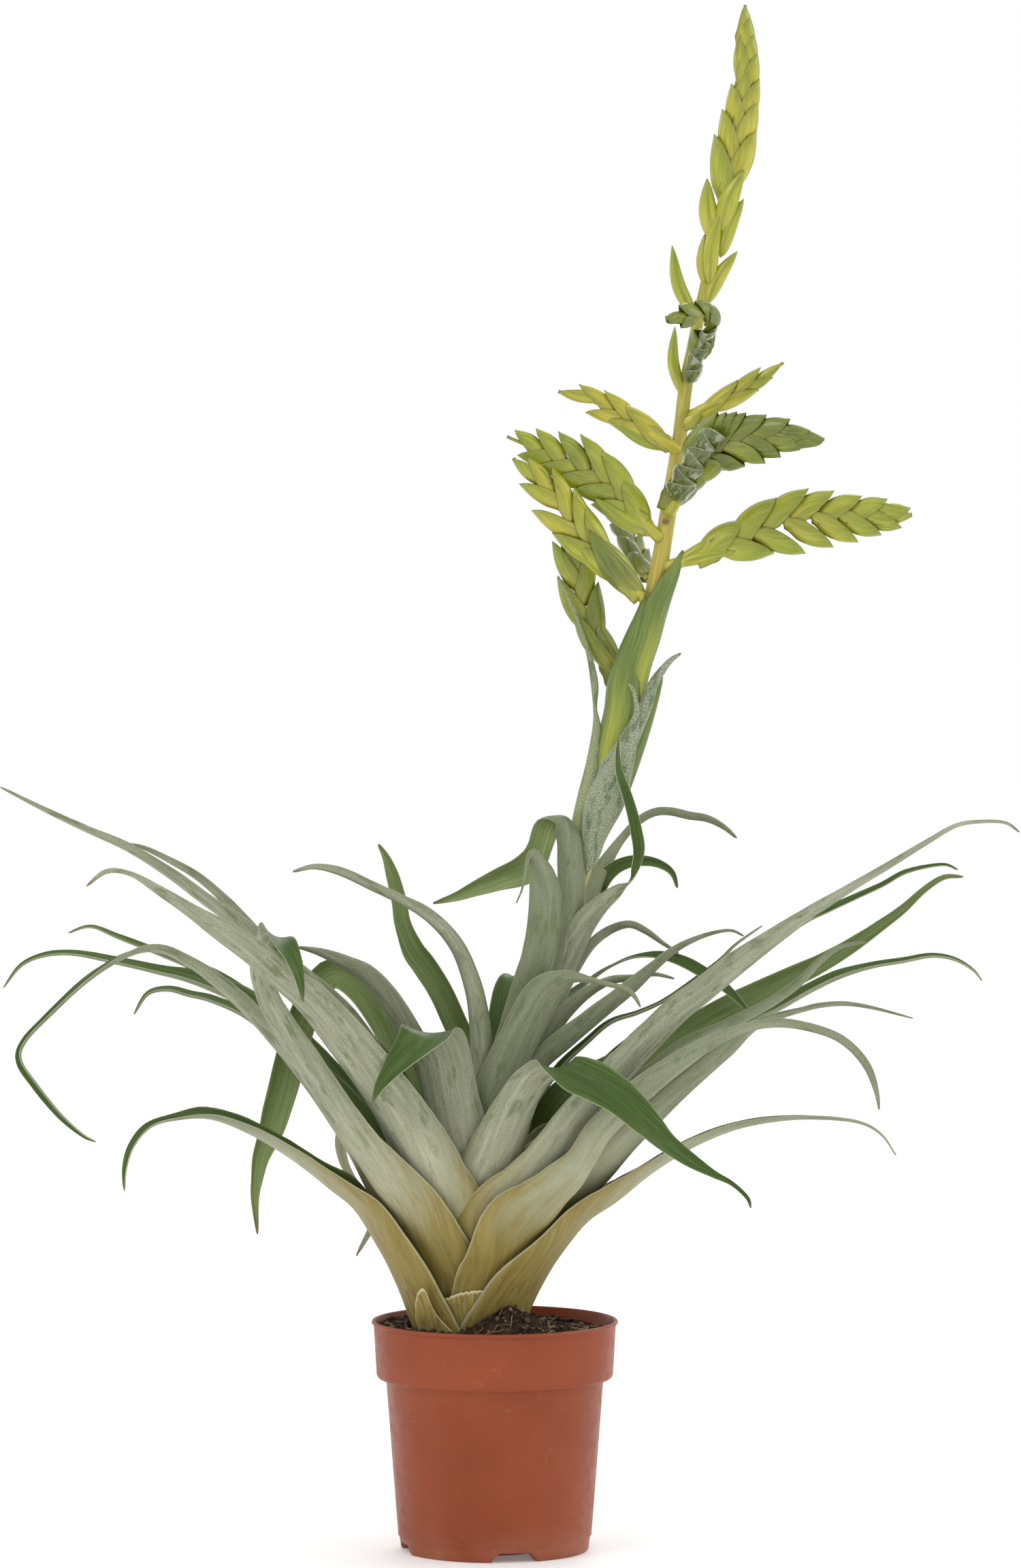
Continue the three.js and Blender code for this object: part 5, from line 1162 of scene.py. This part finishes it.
def spike_tips(spike, line):
    """Each bract's tip as (length along the axis, side, distance from it), from the spike's foot up."""
    found = []
    line.measure()
    for x, z in spike.get("tips", []):
        def off(k):
            point = line.at(k / MARKS)
            seen = EYE.lerp(point, EYE.y / (EYE.y - point.y))
            return math.hypot(seen.x - x, seen.z - z)

        k = min(range(MARKS + 1), key=off)
        point, _, across, _ = spike_frame(spike, line, k / MARKS)
        out = (placed((x, point.y, z)) - point).dot(across)
        found.append((line.marks[k], math.copysign(1, out), abs(out)))
    for i in range(spike.get("bracts", 0)):
        share = i / (spike["bracts"] - 1)
        stand = spike["spread"] * math.sin(math.pi * mix(0.3, 0.93, share))
        found.append((spike["first"] + i * spike["pitch"], 1 if i % 2 == 0 else -1, stand))
    return sorted(found)


def ear_bract(mesh, spike, line, tip, side, stand, share, tone, phase):
    """One folded bract: its keel runs out to the tip, and its two flanks clasp the axis."""
    size = line.measure()
    length = spike["length"] * mix(1, 0.66, share)
    foot = max(tip - length, 1)
    broad = (spike["spread"] + 2) * mix(1.02, 0.66, share)
    deep = spike["depth"] / 2 * (1 - 0.5 * share)
    belly = 0.34 * broad * (1 - 0.45 * min(stand / spike["spread"], 1))
    blunt = spike.get("blunt", 0)

    def place(s, t):
        at = mix(foot, tip, t)
        centre, tangent, across, flank = spike_frame(spike, line, line.at_length(min(at, size)))
        centre = centre + tangent * max(at - size, 0)
        keel = stand * mix(0.2, 1, t) ** 0.65 * mix(0.6, 1, smooth(0, 0.25, t))
        keel = keel + belly * math.sin(math.pi * t)
        reach = broad * min(1, 0.5 + 1.5 * t) * (1 - t ** mix(2.5, 4, blunt)) ** mix(0.85, 0.55, blunt)
        out = keel - reach * abs(s) ** 1.15
        swell = deep * (0.7 + 0.4 * min(t, 0.9)) * min(1, reach / (0.4 * broad)) ** 0.8
        thick = swell * math.sin(min(abs(s) * 1.5, 1) * math.pi / 2)
        point = centre + across * side * out + flank * math.copysign(thick, s)
        return point, (abs(s), t, tone, 1 - 0.6 * abs(s) ** 4, s * reach + phase, at)

    grid(mesh, *BRACT_GRID, place)


def ear_piece(key, spike, line):
    """The overlapping bracts of a spike. Returns the share of its axis that lies below them."""
    tips = spike_tips(spike, line)
    draw = random.Random(key)
    mesh = bmesh.new()
    for number, (tip, side, stand) in enumerate(tips):
        share = number / (len(tips) - 1)
        tone = spike["tone"] + draw.uniform(-0.12, 0.12)
        ear_bract(mesh, spike, line, tip, side, stand, share, tone, number * 17 + draw.random() * 5)
    piece("ear_" + key, mesh, [BRACT_SKIN], ["spike_" + key], BRACT_THICKNESS, 0.25)
    return tips[0][0] / line.measure()


def axis_piece(key, spike, line, bare):
    """The spike's own stalk, bare up to a share of it and thin beyond, with the bracts at its foot."""
    mesh = bmesh.new()

    def girth(t):
        return spike["peduncle"] * mix(1, 0.28, smooth(0.5 * bare, 1.2 * bare, t))

    tube(mesh, line, girth, *PEDUNCLE_GRID, 0.6 * spike["tone"])
    for number, basal in enumerate(spike.get("basal", [])):
        start = placed(basal["from"]) if "from" in basal else line.at(line.at_length(line.measure() * 0.03))
        tone, bulge = basal.get("tone", spike["tone"]), basal.get("bulge", 0.1)
        tip, depth = placed(basal["tip"]), spike["depth"] * 0.8
        keeled_bract(mesh, start, tip, basal["width"], depth, tone, number * 23, bulge)
    piece("axis_" + key, mesh, [BRACT_SKIN], ["spike_" + key], closed=True)


def scale_cup(mesh, row, line, lift, number):
    """One scale: a short cup open to the tip, whose rim leans to one side."""
    share = number / (row["count"] - 1)
    top = mix(row["from"], row["to"], share)
    width = row["width"] * mix(1, 0.78, share)
    lean = 0.4 if number % 2 else -0.4
    tone = 1.05 + 0.1 * math.sin(number * 2.4)

    def place(s, t):
        rim = 1 - 0.3 * (s - lean) ** 2
        at = top - row["length"] * (1 - t * rim)
        where = line.at_length(max(at, 0))
        tangent = line.tangent(where)
        across = tangent.cross(SIGHT).normalized()
        front = across.cross(tangent)
        front = -front if front.y > 0 else front
        angle = s * math.radians(SCALE_CLASP)
        flare = mix(0.8, 1.06, smooth(0, 0.8, t)) - 0.05 * smooth(0.8, 1, t)
        out = across * math.sin(angle) * width / 2 + front * math.cos(angle) * lift
        return line.at(where) + out * flare, (abs(s) ** 3, t * 0.9, tone, 1, s * 8 + number * 13, at)

    grid(mesh, 18, 10, place)


def scale_row(key, spike):
    """The smooth scales at the foot of an ear whose edge faces the front, the older over the younger."""
    row = spike["scales"]
    line = Line([placed(station) for station in row.get("line", spike["axis"])])
    mesh = bmesh.new()
    for number in range(row["count"]):
        scale_cup(mesh, row, line, SCALE_LIFT + spike["depth"] / 2, number)
    piece("scales_" + key, mesh, [SCALE_SKIN], ["spike_" + key], BRACT_THICKNESS, 0.3)


for key, spike in SPIKES.items():
    axis = Line([placed(station) for station in spike["axis"]])
    bare = ear_piece(key, spike, axis)
    axis_piece(key, spike, axis, bare)
    if "scales" in spike:
        scale_row(key, spike)

# ---- Pot ----

POT_PROFILE = [
    (0, 0), (PAD_RADIUS, 0), (PAD_RADIUS + 0.8, UNDERSIDE), (39.5, UNDERSIDE), (41.5, 0), (45.4, 0),
    (FOOT_RADIUS, 0.9), (46.6, 4.6), (47, 7), (47.6, 7.6), (53.4, 83.4), (53.9, 84.1),
    (54.6, COLLAR_BOTTOM - 0.4), (56.5, COLLAR_BOTTOM - 0.1), (57.2, COLLAR_BOTTOM + 0.2),
    (57.9, COLLAR_BOTTOM + 1), (58.2, COLLAR_BOTTOM + 2), (59.5, 110.2), (59.35, 111), (59.5, 111.4),
    (60.2, 111.6), (LIP_RADIUS, 112.2), (60.5, 112.8), (60.2, 113.2), (59.6, POT_HEIGHT), (59, 113.2),
    (58.6, 112.7), (58.2 - POT_WALL, 89.3), (56.2, 87.7), (53.2, 86.3), (52.1, 84.6), (46.2, 9),
    (45.6, 6.8), (44.6, POT_FLOOR), (0, POT_FLOOR),
]
mesh = bmesh.new()
spin(mesh, POT_PROFILE, 144)
for vert in mesh.verts:
    azimuth = math.degrees(math.atan2(vert.co.y, vert.co.x)) - NOTCH_TURN
    away = abs((azimuth + 45) % 90 - 45)
    lift = NOTCH_HEIGHT * smooth(NOTCH_HALF_ANGLE + 2, NOTCH_HALF_ANGLE - 1, away)
    if vert.co.z < lift and math.hypot(vert.co.x, vert.co.y) > INSIDE_FOOT:
        vert.co.z = lift
pot = piece("nursery_pot", mesh, [pot_plastic()], ["pot"])
cutters = bmesh.new()
for number in range(DRAINS):
    turn = 2 * math.pi * number / DRAINS
    x, y = DRAIN_RING * math.cos(turn) * MM, DRAIN_RING * math.sin(turn) * MM
    spot = Matrix.Translation((x, y, UNDERSIDE * MM))
    bmesh.ops.create_cone(cutters, cap_ends=True, segments=24, radius1=DRAIN_RADIUS * MM,
                          radius2=DRAIN_RADIUS * MM, depth=DRAIN_CUT * MM, matrix=spot)
cutter = shown("drain_cutter", cast("drain_cutter", cutters))
drains = pot.modifiers.new("drains", "BOOLEAN")
drains.operation, drains.solver, drains.object = "DIFFERENCE", "EXACT", cutter
bpy.context.view_layer.update()
holed = bpy.data.meshes.new_from_object(pot.evaluated_get(bpy.context.evaluated_depsgraph_get()))
pot.modifiers.clear()
pot.data = holed
bpy.data.objects.remove(cutter)

# ---- Soil ----


def hill(x, y, at_x, at_y, spread, height):
    return height * math.exp(-((x - at_x) ** 2 + (y - at_y) ** 2) / (2 * spread**2))


# A hill's centre, spread and height.
MOUND = (8, -27, 11, 12)
DIP = (42, 22, 22, -4)


def soil_height(x, y):
    """The soil's surface above its level: the mound, the dip, a ripple, and lumps of two sizes."""
    coarse = noise.fractal(Vector((x / 7, y / 7, 3)), 1, 2, 4)
    fine = noise.noise(Vector((x / 1.7, y / 1.7, 8)))
    return (
        hill(x, y, *MOUND) + hill(x, y, *DIP) + 0.7 * math.sin(x / 4.1 + 1) * math.cos(y / 3.7)
        + 0.5 * math.sin((x + y) / 6.3) + 0.9 * coarse + 0.45 * fine
    )


WELL_RADIUS, WELL_RIM, WELL_FLOOR = 29.6, 1.5, 96.7
SOIL_RADIUS, SOIL_REACH = 56.6, 56
CRUMBS, CRUMB_SIZES = 420, (0.5, 1.9)
FIBRES, FIBRE_GRID, FIBRE_GIRTHS = 34, (6, 12), (0.18, 0.42)
ANY_TURN = (0, 6.3)


def to_wall(turn, radius):
    """How far it is from the rosette's line to a circle round the pot's axis, in a direction."""
    x, y = ROSETTE.x, ROSETTE.y
    reach = x * math.cos(turn) + y * math.sin(turn)
    return -reach + math.sqrt(reach**2 - (x**2 + y**2 - radius**2))


# The soil's profile as (radius, height): underside and side, surface, and the well for the plant's foot.
side_rows = [
    (0, POT_FLOOR + GAP), (43.9, POT_FLOOR + GAP), (45.8, 9), (51.7, 84.7), (52.9, 86.8), (55.5, 88.4),
]
RINGS, BAND = 34, 20  # rings of faces on the surface, and the width that they span in the profile
mesh = bmesh.new()
rows = side_rows + [(SOIL_RADIUS - i * BAND / RINGS, SOIL_LEVEL) for i in range(RINGS)] + [
    (30.2, SOIL_LEVEL - 1), (WELL_RADIUS, 104), (27.2, WELL_FLOOR), (0, WELL_FLOOR)]
spin(mesh, rows, 220)
for vert in mesh.verts:
    radius, turn = math.hypot(vert.co.x, vert.co.y), math.atan2(vert.co.y, vert.co.x)
    if vert.co.z > 90 and radius > 0:
        if vert.co.z == SOIL_LEVEL:
            share = (radius - (SOIL_RADIUS - BAND)) / BAND
            radius = mix(WELL_RADIUS + WELL_RIM, to_wall(turn, SOIL_RADIUS), share)
        x, y = ROSETTE.x + radius * math.cos(turn), ROSETTE.y + radius * math.sin(turn)
        rise = soil_height(x, y) if vert.co.z > SOIL_LEVEL - 2 else 0
        vert.co = (x, y, vert.co.z + rise)
piece("soil_bed", mesh, [soil_grit()], ["soil"])


def soil_spot(draw, margin):
    """A random place on the soil, between the plant's foot and the pot's wall."""
    while True:
        x, y = draw.uniform(-SOIL_REACH, SOIL_REACH), draw.uniform(-SOIL_REACH, SOIL_REACH)
        from_plant = math.hypot(x - ROSETTE.x, y)
        if math.hypot(x, y) < SOIL_RADIUS - margin and from_plant > WELL_RADIUS + WELL_RIM + margin:
            return x, y


draw = random.Random("crumbs")
mesh = bmesh.new()
tones = mesh.verts.layers.float.new("tone")
for _ in range(CRUMBS):
    size = draw.uniform(*CRUMB_SIZES)
    x, y = soil_spot(draw, size)
    spot = Matrix.Translation((x, y, SOIL_LEVEL + soil_height(x, y) + size * 0.25))
    angle = draw.uniform(*ANY_TURN)
    turn = Matrix.Rotation(angle, 4, Vector((draw.random(), draw.random(), draw.random() + 0.1)))
    sides = [size * draw.uniform(*limits) for limits in ((0.7, 1.3), (0.6, 1.1), (0.4, 0.8))]
    shape = Matrix.Diagonal((*sides, 1))
    made = bmesh.ops.create_icosphere(mesh, subdivisions=1, radius=1, matrix=spot @ turn @ shape)["verts"]
    tone = draw.random()
    for vert in made:
        vert.co += Vector((draw.uniform(-1, 1), draw.uniform(-1, 1), draw.uniform(-1, 1))) * size * 0.14
        vert[tones] = tone
crumbs = piece("soil_crumbs", mesh, [crumb_bark()], ["soil"])
crumbs.data.shade_flat()

draw = random.Random("fibres")
mesh = bmesh.new()
for _ in range(FIBRES):
    x, y = soil_spot(draw, 4)
    heading, points = draw.uniform(*ANY_TURN), []
    for _ in range(5):
        points.append((x, y, SOIL_LEVEL + soil_height(x, y) + draw.uniform(0.1, 1.1)))
        heading += draw.uniform(-0.7, 0.7)
        step = draw.uniform(1.6, 3.4)
        x, y = x + step * math.cos(heading), y + step * math.sin(heading)
        if math.hypot(x, y) > SOIL_RADIUS - 1 or math.hypot(x - ROSETTE.x, y) < WELL_RADIUS + 1:
            break
    if len(points) > 2:
        girth = draw.uniform(*FIBRE_GIRTHS)
        tube(mesh, Line(points), lambda t, girth=girth: girth * (1 - 0.5 * t), *FIBRE_GRID)
piece("soil_fibres", mesh, [fibre_skin()], ["soil"], closed=True)

# ---- Floor and light ----

FLOOR_SIZE = 6
AIM = Vector((0, 0, 0.35))

mesh = bmesh.new()
bmesh.ops.create_grid(mesh, x_segments=1, y_segments=1, size=FLOOR_SIZE)
floor = shown("floor", cast("floor", mesh))
floor.data.materials.append(floor_card())

world = bpy.data.worlds.new("studio")
world.use_nodes = True
backdrop = world.node_tree.nodes["Background"]
backdrop.inputs["Color"].default_value = (1, 1, 1, 1)
backdrop.inputs["Strength"].default_value = 1.0
bpy.context.scene.world = world
bpy.context.scene.view_settings.view_transform = "Standard"

# Each softbox as (name, place, diameter, power), in metres and watts.
for name, place, size, power in [
    ("key", (-1.6, -1.8, 2.6), 1.0, 14),
    ("side", (2.4, -0.2, 1.2), 1.0, 8),
    ("rim", (0.6, 2.2, 2.2), 1.4, 16),
]:
    data = bpy.data.lights.new(name, "AREA")
    data.shape, data.size, data.energy = "DISK", size, power
    lamp = shown(name, data)
    lamp.location = place
    lamp.rotation_euler = (AIM - Vector(place)).to_track_quat("-Z", "Y").to_euler()
